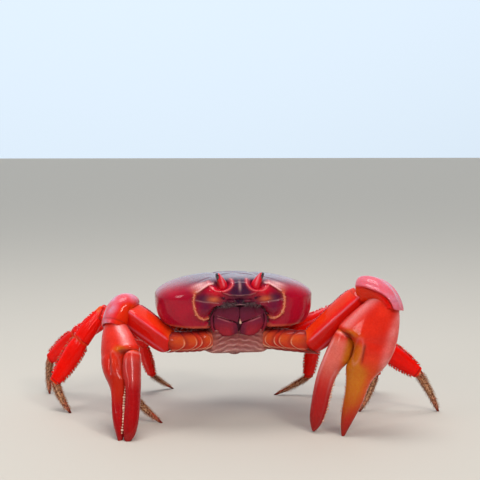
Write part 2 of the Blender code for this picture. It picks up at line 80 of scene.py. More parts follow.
# %% Places in the crab's own frame
MM = 0.001
SIDES = ((-1, "right"), (1, "left"))
BROW_Y = -32.84                    # the shell's front edge in the crab's own frame
shell_low, shell_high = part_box("carapace")
CRAB_ORIGIN = Vector(((shell_low.x + shell_high.x) / 2, shell_low.y - BROW_Y * MM, 0.0))


def at(x, y, z):
    """A point of the crab, from millimetres in its own frame to metres in the row."""
    return Vector((x, y, z)) * MM + CRAB_ORIGIN


print("crab origin:", [round(v, 5) for v in CRAB_ORIGIN])

# %% [markdown]
# The view is low and close, a little to the crab's right. A 75 mm lens keeps the
# claws from looking swollen. The camera turns eight degrees round the crab and looks
# slightly down.

# %% Camera
VIEW_TURN = math.radians(8)
VIEW_TILT = math.atan(0.093)
EYE_POINT = Vector((0.0045, -0.635, 0.1745))

lens = bpy.data.cameras.new("view")
lens.lens = 75
lens.sensor_width = 36
lens.clip_start = 0.01
camera = bpy.data.objects.new("view", lens)
bpy.context.scene.collection.objects.link(camera)
camera.matrix_world = (
    Matrix.Translation(CRAB_ORIGIN)
    @ Matrix.Rotation(-VIEW_TURN, 4, "Z")
    @ Matrix.Translation(EYE_POINT)
    @ Matrix.Rotation(math.pi / 2 - VIEW_TILT, 4, "X")
)
bpy.context.scene.camera = camera
print("camera stands at", [round(v, 3) for v in camera.matrix_world.translation])

# %% [markdown]
# Shells shine, so what they mirror matters as much as the lamps. The world is a pale
# sky that is bright behind and above the crab, for the cool sheen on its back, and dim
# in front, so that the red of its face stays deep. Three small soft lamps put clear
# highlights on the claws. Two veiled suns add even light that no shell mirrors.

# %% Studio
LAMP_TARGET = Vector((0, 0, 0.05))
BRIGHT_WAY = (0.0, 0.8, 0.6)       # the sky is brightest this way


def hang_lamp(name, kind, place, way, colour, **settings):
    light = bpy.data.lights.new(name, kind)
    light.color = colour
    for setting, value in settings.items():
        setattr(light, setting, value)
    lamp = bpy.data.objects.new(name, light)
    bpy.context.scene.collection.objects.link(lamp)
    lamp.location = place
    lamp.rotation_mode = "QUATERNION"
    lamp.rotation_quaternion = Vector(way).to_track_quat("-Z", "Y")
    return lamp


for name, place, size, power, colour in (
        ("sky_lamp", (-0.1, 0.0, 1.1), 0.55, 6.0, (0.95, 0.97, 1.0)),
        ("front_lamp", (0.5, -0.95, 0.85), 0.2, 3.2, (1.0, 0.96, 0.92)),
        ("left_lamp", (-0.85, -0.5, 0.5), 0.3, 2.0, (1.0, 0.97, 0.95))):
    hang_lamp(name, "AREA", place, LAMP_TARGET - Vector(place), colour,
              shape="DISK", size=size, energy=power)
for name, way, power, spread in (("veiled_sun", (-0.25, 0.75, -0.85), 1.05, 40),
                                 ("low_fill", (0.15, 1.0, -0.22), 0.85, 60)):
    sun = hang_lamp(name, "SUN", (0, 0, 0), way, (1.0, 0.98, 0.95),
                    energy=power, angle=math.radians(spread))
    sun.visible_glossy = False


def fill_in(tree, node, inputs):
    """Set the inputs of a node: each is a value, a colour or another node's socket."""
    for name, value in inputs.items():
        socket = node.inputs[name]
        if isinstance(value, bpy.types.NodeSocket):
            tree.links.new(value, socket)
        else:
            socket.default_value = (*value, 1.0) if socket.type == "RGBA" else value


def add_node(tree, kind, inputs, **settings):
    node = tree.nodes.new("ShaderNode" + kind)
    for setting, value in settings.items():
        setattr(node, setting, value)
    fill_in(tree, node, inputs)
    return node


def build_sky():
    """A pale sky, brighter behind the crab and dimmer where its face mirrors it."""
    world = bpy.data.worlds.new("pale_sky")
    world.use_nodes = True
    tree = world.node_tree
    way = add_node(tree, "TexCoord", {}).outputs["Generated"]
    facing = add_node(tree, "VectorMath", {0: way, 1: BRIGHT_WAY}, operation="DOT_PRODUCT")
    strength = add_node(tree, "MapRange", {
        "Value": facing.outputs["Value"], "From Min": -0.3, "From Max": 1.0,
        "To Min": 0.05, "To Max": 1.05}, interpolation_type="SMOOTHSTEP")
    fill_in(tree, tree.nodes["Background"],
            {"Color": (0.76, 0.88, 1.0), "Strength": strength.outputs["Result"]})
    return world


bpy.context.scene.world = build_sky()
bpy.context.scene.view_settings.view_transform = "Standard"

bpy.ops.object.select_all(action="DESELECT")
bpy.ops.mesh.primitive_plane_add(size=30.0)
floor = bpy.context.object
floor.name = "studio_floor"
paper = bpy.data.materials.new("pale_paper")
paper.use_nodes = True
fill_in(paper.node_tree, paper.node_tree.nodes["Principled BSDF"],
        {"Base Color": (0.52, 0.465, 0.395), "Roughness": 0.8})
floor.data.materials.append(paper)
print("studio: 3 lamps, 2 veiled suns, a pale floor and a pale sky")

# %% [markdown]
# A few small tools do most of the modelling. `edit` uses a mesh tool on a whole piece
# and `modify` applies a modifier. `grow` draws a limb as a person would: it starts from
# a filled circle and extrudes it ring after ring, resizing each one, and can soften the
# result by subdivision.

# %% Modelling tools
def only(piece):
    bpy.ops.object.select_all(action="DESELECT")
    piece.select_set(True)
    bpy.context.view_layer.objects.active = piece


def add_piece(name, tool, **settings):
    """Add a primitive with nothing else selected, and name it."""
    bpy.ops.object.select_all(action="DESELECT")
    tool(**settings)
    piece = bpy.context.object
    piece.name = piece.data.name = name
    return piece


def edit(piece, tool, **settings):
    """Use one mesh tool on the whole of a piece, in edit mode."""
    only(piece)
    bpy.ops.object.mode_set(mode="EDIT")
    bpy.ops.mesh.select_all(action="SELECT")
    tool(**settings)
    bpy.ops.object.mode_set(mode="OBJECT")


def modify(piece, kind, **settings):
    """Add a modifier, set it and apply it."""
    only(piece)
    bpy.ops.object.modifier_add(type=kind)
    modifier = piece.modifiers[-1]
    for setting, value in settings.items():
        setattr(modifier, setting, value)
    bpy.ops.object.modifier_apply(modifier=modifier.name)


def grow(name, rings, sides=12, smooth=0):
    """Extrude a filled circle along +Z. A ring is (along, half width, rise, drop) in mm."""
    piece = add_piece(name, bpy.ops.mesh.primitive_circle_add, vertices=sides, radius=MM,
                      fill_type="NGON")
    bpy.ops.object.mode_set(mode="EDIT")
    bpy.ops.mesh.select_all(action="SELECT")
    place, size = Vector((0, 0, 0)), Vector((1, 1, 1))
    for index, (along, half, rise, drop) in enumerate(rings):
        if index:
            bpy.ops.mesh.extrude_region_move()
        next_size = Vector((half, (rise + drop) / 2, 1))
        next_place = Vector((0, (rise - drop) / 2, along))
        bpy.ops.transform.resize(value=(next_size.x / size.x, next_size.y / size.y, 1),
                                 center_override=place * MM)
        bpy.ops.transform.translate(value=(next_place - place) * MM)
        place, size = next_place, next_size
    bpy.ops.object.mode_set(mode="OBJECT")
    edit(piece, bpy.ops.mesh.normals_make_consistent, inside=False)
    if smooth:
        modify(piece, "SUBSURF", levels=smooth, render_levels=smooth)
    return piece

# %% [markdown]
# `sculpt` moves the points of a piece by a rule, and `paint` writes masks that a finish
# reads later. The rules are made of two soft shapes: a `ramp` and a `bell`.

# %% Rules and masks
def points_of(piece):
    """The points of a piece in millimetres, one row each."""
    flat = np.empty(len(piece.data.vertices) * 3, np.float32)
    piece.data.vertices.foreach_get("co", flat)
    return flat.reshape(-1, 3).astype(float) / MM


def sculpt(piece, move):
    """Move every point of a piece by a rule that takes and gives millimetres."""
    moved = move(points_of(piece)) * MM
    piece.data.vertices.foreach_set("co", moved.astype(np.float32).ravel())
    piece.data.update()


def paint(piece, **rules):
    """Write masks from 0 to 1 on the points of a piece, each by a rule of x, y and z in mm."""
    for mask, rule in rules.items():
        x, y, z = points_of(piece).T
        values = np.clip(rule(x, y, z) + 0 * x, 0.0, 1.0).astype(np.float32)
        layer = piece.data.attributes.new(mask, "FLOAT", "POINT")
        layer.data.foreach_set("value", values)


def read(line, values):
    """Read a bent line, given as pairs, at some values."""
    return np.interp(values, *zip(*line))


def unit(rows):
    return rows / np.linalg.norm(rows, axis=1)[:, None]


def ramp(values, start, end):
    """0 before start, 1 after end, and a soft step between."""
    share = np.clip((values - start) / (end - start), 0.0, 1.0)
    return share * share * (3 - 2 * share)


def bell(offset, width):
    """1 where the offset is 0, and soon nothing beyond the width."""
    return np.exp(-((offset / width) ** 2))

# %% [markdown]
# `put` sets a piece in its place, and `finish_piece` gives it its finish, hangs it on
# the model's root body and hides the solids of the imported model that it stands for.

# %% Setting pieces in place
def put(piece, matrix=Matrix.Translation(CRAB_ORIGIN)):
    """Set a finished piece in its place and apply that place to its mesh."""
    only(piece)
    piece.matrix_world = matrix
    bpy.ops.object.transform_apply(location=True, rotation=True, scale=True)


def copy_of(piece, name):
    """A copy with a mesh of its own."""
    twin = piece.copy()
    twin.data = piece.data.copy()
    twin.name = twin.data.name = name
    bpy.context.scene.collection.objects.link(twin)
    return twin


def finish_piece(piece, finish, nodes):
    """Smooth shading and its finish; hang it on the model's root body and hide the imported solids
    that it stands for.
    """
    only(piece)
    bpy.ops.object.shade_smooth()
    piece.data.materials.clear()
    piece.data.materials.append(finish)
    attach(piece, "root")
    if nodes:
        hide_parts(*nodes)


CUT_SLACK = 1e-7                   # metres; points nearer than this to the cut snap to it


def trim_to_floor(piece):
    """Cut off what would reach through the floor, and close the cut."""
    edit(piece, bpy.ops.mesh.bisect, plane_co=(0, 0, 0), plane_no=(0, 0, 1), use_fill=True,
         clear_inner=True, threshold=CUT_SLACK)


def discard(piece):
    bpy.data.objects.remove(piece, do_unlink=True)

# %% [markdown]
# Spines, teeth, granules and bristles repeat hundreds of times. Each is modelled once
# with a few dozen faces. `plant` sets copies of it on the shell, joined in one piece:
# a seed says where a copy stands, which way it points, which way it leans and its size.

# %% Planting many small copies
BAKE_PATCH = 0.003                 # side of a copy's patch on the flat map


def plant(name, model, seeds, bake_spots=None):
    """Join copies of a small model; a seed is (place, outward, towards, width, height) in metres.

    bake_spots gives each copy its place on an unwrap of the skin it grows from."""
    shape = points_of(model) * MM
    faces = [list(face.vertices) for face in model.data.polygons]
    points, loops = [], []
    for place, outward, towards, width, height in seeds:
        out = Vector(outward).normalized()
        side = out.cross(Vector(towards)).normalized()
        ahead = side.cross(out)
        turn = np.array([side * width, ahead * width, out * height], float)
        loops += [[corner + len(points) * len(shape) for corner in face] for face in faces]
        points.append(shape @ turn / MM + np.array(place, float))
    mesh = bpy.data.meshes.new(name)
    mesh.from_pydata(np.concatenate(points), [], loops)
    piece = bpy.data.objects.new(name, mesh)
    bpy.context.scene.collection.objects.link(piece)
    if bake_spots is not None:
        layer = mesh.uv_layers.new(name="OFBake")
        corners = np.array([corner for face in faces for corner in face])
        local = shape[corners][:, :2]
        local = BAKE_PATCH * (local - local.min(0)) / (np.ptp(local, axis=0) + 1e-9)
        layer.data.foreach_set(
            "uv", (np.repeat(np.array(bake_spots), len(corners), axis=0)
                   + np.tile(local, (len(seeds), 1))).astype(np.float32).ravel())
    return piece

# %% [markdown]
# A spine leans a little, a bristle curves, a tooth is a blunt peg and a granule is a
# ball. Each is drawn one millimetre long and wide, and a seed says its true size.

# %% Small models
spine = grow("spine", [(0, 0.5, 0.5, 0.5), (0.35, 0.42, 0.45, 0.4), (0.75, 0.24, 0.3, 0.16),
                       (1.0, 0.05, 0.12, 0.0)], sides=6)
bristle = grow("bristle", [(0, 0.5, 0.5, 0.5), (0.5, 0.4, 0.55, 0.25), (1.0, 0.08, 0.5, -0.3)],
               sides=3)
tooth = grow("tooth", [(0, 0.5, 0.5, 0.5), (0.45, 0.46, 0.46, 0.46), (0.8, 0.3, 0.3, 0.3),
                       (1.0, 0.1, 0.1, 0.1)], sides=8)
granule = add_piece("granule", bpy.ops.mesh.primitive_ico_sphere_add, subdivisions=2,
                    radius=0.5 * MM)
print("small models:", [len(thing.data.polygons) for thing in (spine, bristle, tooth, granule)])

# %% [markdown]
# A crab's shell is a hard, slightly see-through glaze over coloured layers. The finish
# is one Principled shader. Its base colour is mixed from the piece's masks: `warm` for
# the yellow-orange of thin shell by the joints, `dark` for dark horn and joints and for
# painted shade in grooves, hollows and undersides, and `pale` for paler shell and for
# painted highlights and sheen on edges and tops. Some finishes also read `red` or `deep`
# for richer reds, and `dusk` for purple, which on the face is also painted shade in the
# sockets and under the margin. Two noises mottle the colour, fine bumps break the gloss,
# a little light scatters beneath, and a clear coat gives the wet shine.

# %% Shell finish
PIT_DEPTH = 0.00012                # metres, for the fine bumps


def add_mix(tree, first, second, share):
    """A colour mix; each input is a colour or a socket."""
    mix = add_node(tree, "Mix", {}, data_type="RGBA")
    fill_in(tree, mix, {6: first, 7: second, 0: share})
    return mix.outputs[2]


def add_noise(tree, place, scale, detail=3.0, low=0.35, high=0.65):
    """A noise of that many features in a metre, stretched so that low to high is 0 to 1."""
    noise = add_node(tree, "TexNoise", {"Vector": place, "Scale": scale, "Detail": detail})
    spread = add_node(tree, "MapRange",
                      {"Value": noise.outputs["Fac"], "From Min": low, "From Max": high})
    return spread.outputs["Result"]


def add_product(tree, socket, factor):
    """A value times a number."""
    return add_node(tree, "Math", {0: socket, 1: factor}, operation="MULTIPLY").outputs[0]


def new_finish(name):
    """An empty finish, with its node tree, its shader and the place on the piece."""
    material = bpy.data.materials.new(name)
    material.use_nodes = True
    tree = material.node_tree
    place = add_node(tree, "TexCoord", {}).outputs["Object"]
    return material, tree, tree.nodes["Principled BSDF"], place


def shell_finish(name, base, mottle, masks, gloss=(0.22, 0.42), coat=0.25, grain=900.0,
                 glow=0.12, speckle=0.22):
    """masks gives the colour that each mask brings; mottle is the colour of the clouds."""
    material, tree, shader, place = new_finish(name)
    clouds = add_noise(tree, place, 110.0, 4.0)
    specks = add_noise(tree, place, grain, 5.0, 0.4, 0.62)
    colour = add_mix(tree, base, mottle, add_product(tree, clouds, 0.55))
    for mask, tint in masks.items():
        share = add_node(tree, "Attribute", {}, attribute_name=mask).outputs["Fac"]
        colour = add_mix(tree, colour, tint, share)
    colour = add_mix(tree, colour, mottle, add_product(tree, specks, speckle))
    rough = add_node(tree, "MapRange", {"Value": add_noise(tree, place, 320.0, 4.0),
                                        "To Min": gloss[0], "To Max": gloss[1]})
    pits = add_node(tree, "TexVoronoi", {"Vector": place, "Scale": grain}, feature="SMOOTH_F1")
    height = add_mix(tree, pits.outputs["Distance"], specks, 0.45)
    bump = add_node(tree, "Bump", {"Height": height, "Strength": 0.55, "Distance": PIT_DEPTH})
    fill_in(tree, shader, {
        "Base Color": colour, "Roughness": rough.outputs["Result"],
        "Normal": bump.outputs["Normal"], "Specular IOR Level": 0.05,
        "Coat Weight": coat, "Coat IOR": 1.3, "Coat Roughness": 0.08,
        "Subsurface Weight": glow, "Subsurface Radius": (1.0, 0.15, 0.06),
        "Subsurface Scale": 0.0025})
    return material

# %% [markdown]
# Every kind of shell has its own colours: a base, a darker mottle, and what its masks
# bring. The limbs are bright red, the crown purple, the chest pink and the toes brown.

# %% Finishes of the shell
RED = (0.72, 0.005, 0.001)
CRIMSON = (0.36, 0.004, 0.022)
DEEP_PURPLE = (0.035, 0.010, 0.034)
ORANGE = (0.72, 0.10, 0.012)
YELLOW = (0.52, 0.15, 0.006)
PALE_PINK = (0.56, 0.24, 0.33)
DARK_HORN = (0.13, 0.012, 0.010)
BELLY_PINK = (0.36, 0.13, 0.12)


limb_finish = shell_finish(
    "limb_shell", RED, (0.58, 0.006, 0.003),
    {"warm": ORANGE, "pale": PALE_PINK, "dark": DARK_HORN}, (0.18, 0.32), coat=0.7, glow=0.25)
claw_finish = shell_finish(
    "claw_shell", (0.72, 0.026, 0.010), (0.48, 0.008, 0.004),
    {"warm": YELLOW, "pale": (0.82, 0.34, 0.33), "deep": (0.32, 0.004, 0.006), "dark": DARK_HORN},
    (0.18, 0.32), coat=0.75, glow=0.18)
leg_finish = shell_finish(
    "leg_shell", (0.84, 0.005, 0.001), (0.62, 0.005, 0.002),
    {"warm": ORANGE, "pale": PALE_PINK, "dark": DARK_HORN}, (0.18, 0.32), coat=0.35, glow=0.3)
body_finish = shell_finish(
    "carapace_shell", CRIMSON, (0.20, 0.003, 0.02),
    {"dusk": DEEP_PURPLE, "red": (0.62, 0.006, 0.022), "warm": (0.62, 0.13, 0.045),
     "pale": (0.78, 0.40, 0.38)}, (0.22, 0.36), coat=0.85, grain=1300.0)
face_finish = shell_finish(
    "jaw_shell", (0.17, 0.014, 0.036), (0.10, 0.012, 0.034),
    {"warm": (0.46, 0.022, 0.035), "pale": (0.50, 0.17, 0.18), "dark": (0.035, 0.008, 0.016)},
    coat=0.2)
eye_finish = shell_finish(
    "eye_stalk", (0.66, 0.006, 0.02), (0.5, 0.004, 0.015),
    {"warm": ORANGE, "pale": (0.85, 0.35, 0.42), "dark": (0.03, 0.004, 0.006)},
    (0.15, 0.25), coat=0.7)
belly_finish = shell_finish(
    "belly_shell", BELLY_PINK, (0.26, 0.06, 0.07),
    {"warm": (0.45, 0.12, 0.08), "pale": (0.58, 0.34, 0.30), "dark": (0.14, 0.02, 0.03)}, coat=0.3)
base_finish = shell_finish(
    "arm_root_shell", (0.54, 0.028, 0.010), (0.40, 0.012, 0.008),
    {"warm": (0.62, 0.15, 0.022), "pale": (0.76, 0.40, 0.26), "dark": (0.12, 0.008, 0.012)},
    coat=0.45)
toe_finish = shell_finish(
    "toe_shell", (0.56, 0.25, 0.11), (0.08, 0.012, 0.008),
    {"red": (0.62, 0.03, 0.012), "pale": (0.66, 0.38, 0.22), "dark": DARK_HORN},
    coat=0.3, speckle=0.95)
print("finishes:", len(bpy.data.materials))

# %% [markdown]
# Small parts need less: two colours clouded together under a coat. The cornea is
# almost black and very smooth, horn and enamel are waxy, and hair has no coat at all.

# %% Horn, cornea and hair
def plain_finish(name, colour, second, roughness, coat, scale):
    material, tree, shader, place = new_finish(name)
    mixed = add_mix(tree, colour, second, add_noise(tree, place, scale))
    fill_in(tree, shader, {"Base Color": mixed, "Roughness": roughness, "Coat Weight": coat,
                           "Coat Roughness": 0.05})
    return material


cornea_finish = plain_finish(
    "cornea", (0.006, 0.005, 0.010), (0.02, 0.012, 0.03), 0.12, 1.0, 900.0)
horn_finish = plain_finish(
    "horn", (0.55, 0.32, 0.20), (0.30, 0.08, 0.04), 0.35, 0.3, 700.0)
tooth_finish = plain_finish(
    "tooth_enamel", (0.72, 0.50, 0.38), (0.60, 0.28, 0.18), 0.3, 0.4, 600.0)
bristle_finish = plain_finish(
    "golden_bristle", (0.52, 0.30, 0.14), (0.30, 0.11, 0.05), 0.5, 0.0, 500.0)
hair_finish = plain_finish(
    "dark_hair", (0.20, 0.11, 0.12), (0.06, 0.03, 0.035), 0.55, 0.0, 500.0)
pearl_finish = plain_finish(
    "ridge_pearls", (0.66, 0.24, 0.12), (0.60, 0.12, 0.05), 0.3, 0.5, 500.0)

# %% [markdown]
# The carapace is one vaulted shell: a broad oval dome above, swollen cheeks at the
# sides, an upright face with two eye sockets, and a frame for the mouth. It could be
# pushed about from a sphere by eye. A surer way is to say with a rule whether a point
# is inside the shell, then cast a fine rounded cube outwards until it meets that rule.
# The cube's even squares leave room for small features on the face.

# %% Rule of the carapace
CARAPACE_WIDTH = 100.0
CARAPACE_FRONT = 33.0
CARAPACE_BACK = 47.0
SHOULDER_HEIGHT = 81.0
DOME_RISE = 13.8
CHEEK_DROP = 27.0
CARAPACE_FLOOR = 63.6
ORBIT_CENTRE = (11.6, -33.5, 92.4)
ORBIT_RADII = (6.4, 6.8, 4.6)
MOUTH_HALF = 16.8
MOUTH_TOP = 77.4
MOUTH_DEPTH = -23.0
FACE_PROFILE = [(56.0, -25.4), (66.0, -28.2), (74.0, -30.2), (84.0, -31.4)]     # z and y
FRONT_MARGIN = [(0.0, 84.2), (6.0, 84.4), (9.5, 85.6), (12.0, 87.6), (16.0, 91.6), (18.5, 91.4),
                (22.0, 89.2), (26.0, 86.6), (30.0, 83.5), (60.0, 60.0)]         # x and z
MARGIN_STEP = 1.3                  # how far the face lies behind the margin, at the sides


def soft_max(first, second, blend):
    high, low = np.maximum(first, second), np.minimum(first, second)
    return high + blend * np.log1p(np.exp((low - high) / blend))


def half_crab(points):
    """x, y and z of points, with x made positive: both sides follow the same rules."""
    return np.abs(points[:, 0]), points[:, 1], points[:, 2]


def under_margin(x, z):
    """How far a place on the face lies below its upper margin."""
    return read(FRONT_MARGIN, x) - z


def beyond_vault(x, y, z):
    """How far outside the plain vault a point lies, in about millimetres."""
    back = y > 0
    reach = np.where(back, CARAPACE_BACK, CARAPACE_FRONT)
    share = np.minimum(np.abs(y) / reach, 0.99995)
    plan, crown, cheek = (np.where(back, a, b) for a, b in ((2.1, 2.7), (2.6, 6.0), (3.4, 4.0)))
    half = CARAPACE_WIDTH / 2 * (1 - share**plan) ** (1 / plan)
    rise = DOME_RISE * (1 - share**crown) ** (1 / crown)
    drop = CHEEK_DROP * (1 - share**cheek) ** (1 / cheek)
    up = z - (SHOULDER_HEIGHT - np.where(back, 7.0 * share**2, 0.0))
    power = np.where(up > 0, 1.95, 2.9)
    tall = np.where(up > 0, rise, drop)
    measure = (x / half) ** power + (np.abs(up) / tall) ** power
    return np.maximum((measure ** (1 / power) - 1) * 22.0, np.abs(y) - reach)


def beyond_shell(points):
    """The vault less the step of the face, the eye sockets and the mouth frame."""
    x, y, z = half_crab(points)
    in_step = -soft_max(y - read(FACE_PROFILE, z), -under_margin(x, z), 0.3)
    offset = (np.stack([x, y, z], 1) - ORBIT_CENTRE) / ORBIT_RADII
    in_orbit = (1 - np.linalg.norm(offset, axis=1)) * min(ORBIT_RADII)
    jaw_edge = MOUTH_HALF - 0.085 * np.maximum(0, z - 69.5) ** 2
    in_mouth = -soft_max(soft_max(x - jaw_edge, z - MOUTH_TOP, 0.4), y - MOUTH_DEPTH, 0.4)
    outside = soft_max(beyond_vault(x, y, z), CARAPACE_FLOOR - z, 0.5)
    for cut in (in_step, in_orbit, in_mouth):
        outside = soft_max(outside, cut, 0.45)
    return outside


HEART = np.array([0.0, -6.0, 76.0])
NEAREST, FARTHEST, STEPS = 8.0, 66.0, 70       # the reach of a cast and its first steps
HALVINGS = 12                                  # how often the last step is then halved


def cast(points):
    """Send every point out from the heart of the shell to where the rule first fails."""
    ways = unit(points - HEART)
    steps = np.linspace(NEAREST, FARTHEST, STEPS)
    near = np.full(len(ways), steps[0])
    open_still = np.ones(len(ways), bool)
    for reach in steps[1:]:
        inside = beyond_shell(HEART + ways * reach) < 0
        open_still &= inside
        near = np.where(open_still, reach, near)
    low, high = near, near + (steps[1] - steps[0])
    for _ in range(HALVINGS):
        middle = (low + high) / 2
        inside = beyond_shell(HEART + ways * middle[:, None]) < 0
        low, high = np.where(inside, middle, low), np.where(inside, high, middle)
    return HEART + ways * low[:, None]

# %% [markdown]
# A cube is subdivided in edit mode, cast, and evened out: six times every point moves
# to the middle of its neighbours and is cast again, which spreads the squares evenly
# over steep places such as the sockets. Then the net is made twice as fine and cast
# once more. The finished shell has 98,304 squares, or 196,608 triangles. The finished
# shell stays under 200,000 triangles.

# %% Cast the carapace
FIRST_CUBE = 40.0                  # millimetres along its side
NET_CUTS = 63
EVENING_ROUNDS = 6

carapace = add_piece("carapace_shell", bpy.ops.mesh.primitive_cube_add, size=FIRST_CUBE * MM,
                     location=HEART * MM)
bpy.ops.object.transform_apply(location=True)
edit(carapace, bpy.ops.mesh.subdivide, number_cuts=NET_CUTS)


def even_out(points):
    """Move every point to the middle of its neighbours and cast it again, some times over."""
    ends = np.empty(len(carapace.data.edges) * 2, np.int64)
    carapace.data.edges.foreach_get("vertices", ends)
    ends = ends.reshape(-1, 2)
    count = np.bincount(ends.ravel(), minlength=len(points))[:, None]
    for _ in range(EVENING_ROUNDS):
        total = np.zeros_like(points)
        np.add.at(total, ends[:, 0], points[ends[:, 1]])
        np.add.at(total, ends[:, 1], points[ends[:, 0]])
        points = cast(total / count)
    return points


def spread_cube(points):
    """Turn the flat squares of a cube into equal angles, before the first cast."""
    away = (points - HEART) / (FIRST_CUBE / 2)
    return HEART + np.tan(away * math.pi / 4) * (FIRST_CUBE / 2)


for move in (spread_cube, cast, even_out):
    sculpt(carapace, move)
edit(carapace, bpy.ops.mesh.subdivide, number_cuts=1)
sculpt(carapace, cast)
print("carapace:", len(carapace.data.polygons), "faces")

# %% [markdown]
# The face now gets its small forms: a raised line of shell under the brow, a rim round
# each socket, the beaded ridge that runs down the cheek and hooks in under the mouth
# frame, a soft swelling between, and furrows. The back gets the wide, shallow H that
# every land crab carries, where muscles hold on inside.

# %% Relief of the face and back
CHEEK_RIDGE = [(27.4, 84.6), (28.2, 81.0), (27.8, 77.2), (26.8, 73.8), (24.8, 71.0),
               (21.8, 69.4), (18.4, 69.6), (15.6, 71.8)]            # x and z
BROW_LINE = [(0.0, 84.5), (6.0, 84.8), (9.8, 86.0)]
SUTURE = [(13.0, 79.6), (17.0, 80.2), (22.0, 80.6), (27.0, 81.6)]
MARGIN_LINE = [point for point in FRONT_MARGIN if 15 < point[0] < 27]
FACE_SWELLINGS = [                                        # height, centre and size
    (1.5, (14.6, 86.6), (3.6, 2.2)), (1.0, (21.5, 76.0), (4.2, 3.6)),
    (0.7, (15.8, 82.2), (3.4, 1.5)), (-2.6, (0.0, 80.8), (3.2, 1.5)),
    (-0.8, (7.0, 81.0), (2.4, 1.3)), (-0.5, (0.0, 90.0), (3.4, 4.0))]


def line_distance(across, up, line):
    """Distance in the face's plane from each point to a bent line."""
    best = np.full(len(across), 1e3)
    for (x0, z0), (x1, z1) in zip(line, line[1:]):
        span = (x1 - x0) ** 2 + (z1 - z0) ** 2
        share = np.clip(((across - x0) * (x1 - x0) + (up - z0) * (z1 - z0)) / span, 0, 1)
        gap = np.hypot(across - x0 - share * (x1 - x0), up - z0 - share * (z1 - z0))
        best = np.minimum(best, gap)
    return best


def bump_at(across, up, centre, size):
    """A round or oval swelling: 1 at its centre, soon nothing beyond its size."""
    return np.exp(-(((across - centre[0]) / size[0]) ** 2 + ((up - centre[1]) / size[1]) ** 2))


def orbit_measure(x, z):
    """1 on the edge of an eye socket, less inside and more outside."""
    return np.hypot((x - ORBIT_CENTRE[0]) / ORBIT_RADII[0],
                    (z - ORBIT_CENTRE[2]) / ORBIT_RADII[2])


def face_relief(x, z):
    """How far the face stands forward of the plain cast, in millimetres."""
    ridge = line_distance(x, z, CHEEK_RIDGE)
    brow = line_distance(x, z, BROW_LINE)
    suture = line_distance(x, z, SUTURE)
    margin = line_distance(x, z, MARGIN_LINE)
    rim = orbit_measure(x, z)
    height = 0.75 * bell(ridge, 0.7) - 0.5 * bell(ridge - 1.9, 1.0) * (x < 28)
    height += 0.4 * bell(brow, 0.5) - 0.4 * bell(suture, 0.5)
    height += 0.5 * bell(margin, 0.7)
    height -= (MARGIN_STEP * ramp(under_margin(x, z), 0.2, 1.6) * ramp(x, 15.0, 19.0)
               * ramp(-x, -32.0, -26.0) * ramp(z, 74, 84))
    height += 0.55 * bell(rim - 1.14, 0.08) * ramp(-z, -93.5, -90.5)
    height += 0.5 * bell(z - 78.7 + 0.03 * x**2, 0.45) * (x < 9)
    for tall, centre, size in FACE_SWELLINGS:
        height += tall * bump_at(x, z, centre, size)
    return height


def back_relief(x, y):
    """The H of the back: two long furrows and a bar, with swollen gill chambers beside."""
    furrow = bell(x - 12.0 - 0.12 * np.abs(y - 8), 2.2) * ramp(y, -16, -8) * ramp(-y, -34, -26)
    bar = bell(y - 7.0 - 0.02 * x**2, 2.0) * (x < 12.5)
    neck = bell(x - 14 - (y + 14) * -1.1, 2.0) * ramp(y, -26, -20) * ramp(-y, -2, 10)
    return 0.5 * bump_at(x, y, (29, 6), (13, 18)) - 0.8 * furrow - 0.7 * bar - 0.45 * neck


def shape_relief(points):
    x, y, z = half_crab(points)
    forward = ramp(-y, 19.0, 26.0) * ramp(-z, -95.0, -91.5)
    upward = ramp(z, 80.0, 87.0) * (1 - ramp(-y, 24.0, 29.0))
    clear_of_orbit = 1 - ramp(-orbit_measure(x, z), -1.0, -0.8) * forward
    moved = points + unit(points - HEART) * (back_relief(x, y) * upward)[:, None]
    moved[:, 1] -= face_relief(x, z) * forward * clear_of_orbit
    return moved


sculpt(carapace, shape_relief)

# %% [markdown]
# Purple lies over the crown and round the brow, and deepens as painted shade inside the
# sockets and under the margin. Bright red lies under the eyes and down the cheeks, warm
# orange along the ridges, and pale pink as painted highlights on the edges that catch the
# light, with a painted glare patch beside each socket and a painted glint on the brow.

# %% Colours of the carapace
def on_face(y):
    """1 on the face, 0 on the rest of the shell."""
    return ramp(-y, 22.0, 28.0)


def dusk_of(x, y, z):
    """Purple: over the crown, along the brow, and between the sockets and the mouth; deeper as
    painted shade under the margin and inside the sockets.
    """
    x = np.abs(x)
    front = on_face(y)
    crown = ramp(z, 85.0, 93.0) * (1 - 0.5 * ramp(x, 18, 44)) * 0.8
    crown = crown * (1 - 0.8 * front * ramp(x, 8, 14))
    brow = 1.5 * bump_at(x, z, (0, 89.0), (6.6, 5.0))
    brow = brow + 1.2 * bump_at(x, z, (4.2, 89.0), (2.6, 3.4))
    # painted shade under the margin, where the face steps back
    hollow = bump_at(x, z, (22.5, 83.0), (6.0, 3.6)) * ramp(under_margin(x, z), 0.4, 2.0)
    lobe = bump_at(x, z, (21.5, 76.5), (4.6, 3.8)) * 0.7
    frame = bump_at(x, z, (0, 79.5), (13.0, 3.4)) * 1.1
    # painted shade inside each eye socket
    socket = (1 - ramp(orbit_measure(x, z), 0.75, 1.0)) * 0.7
    return crown + (brow + hollow + lobe + frame + socket) * front


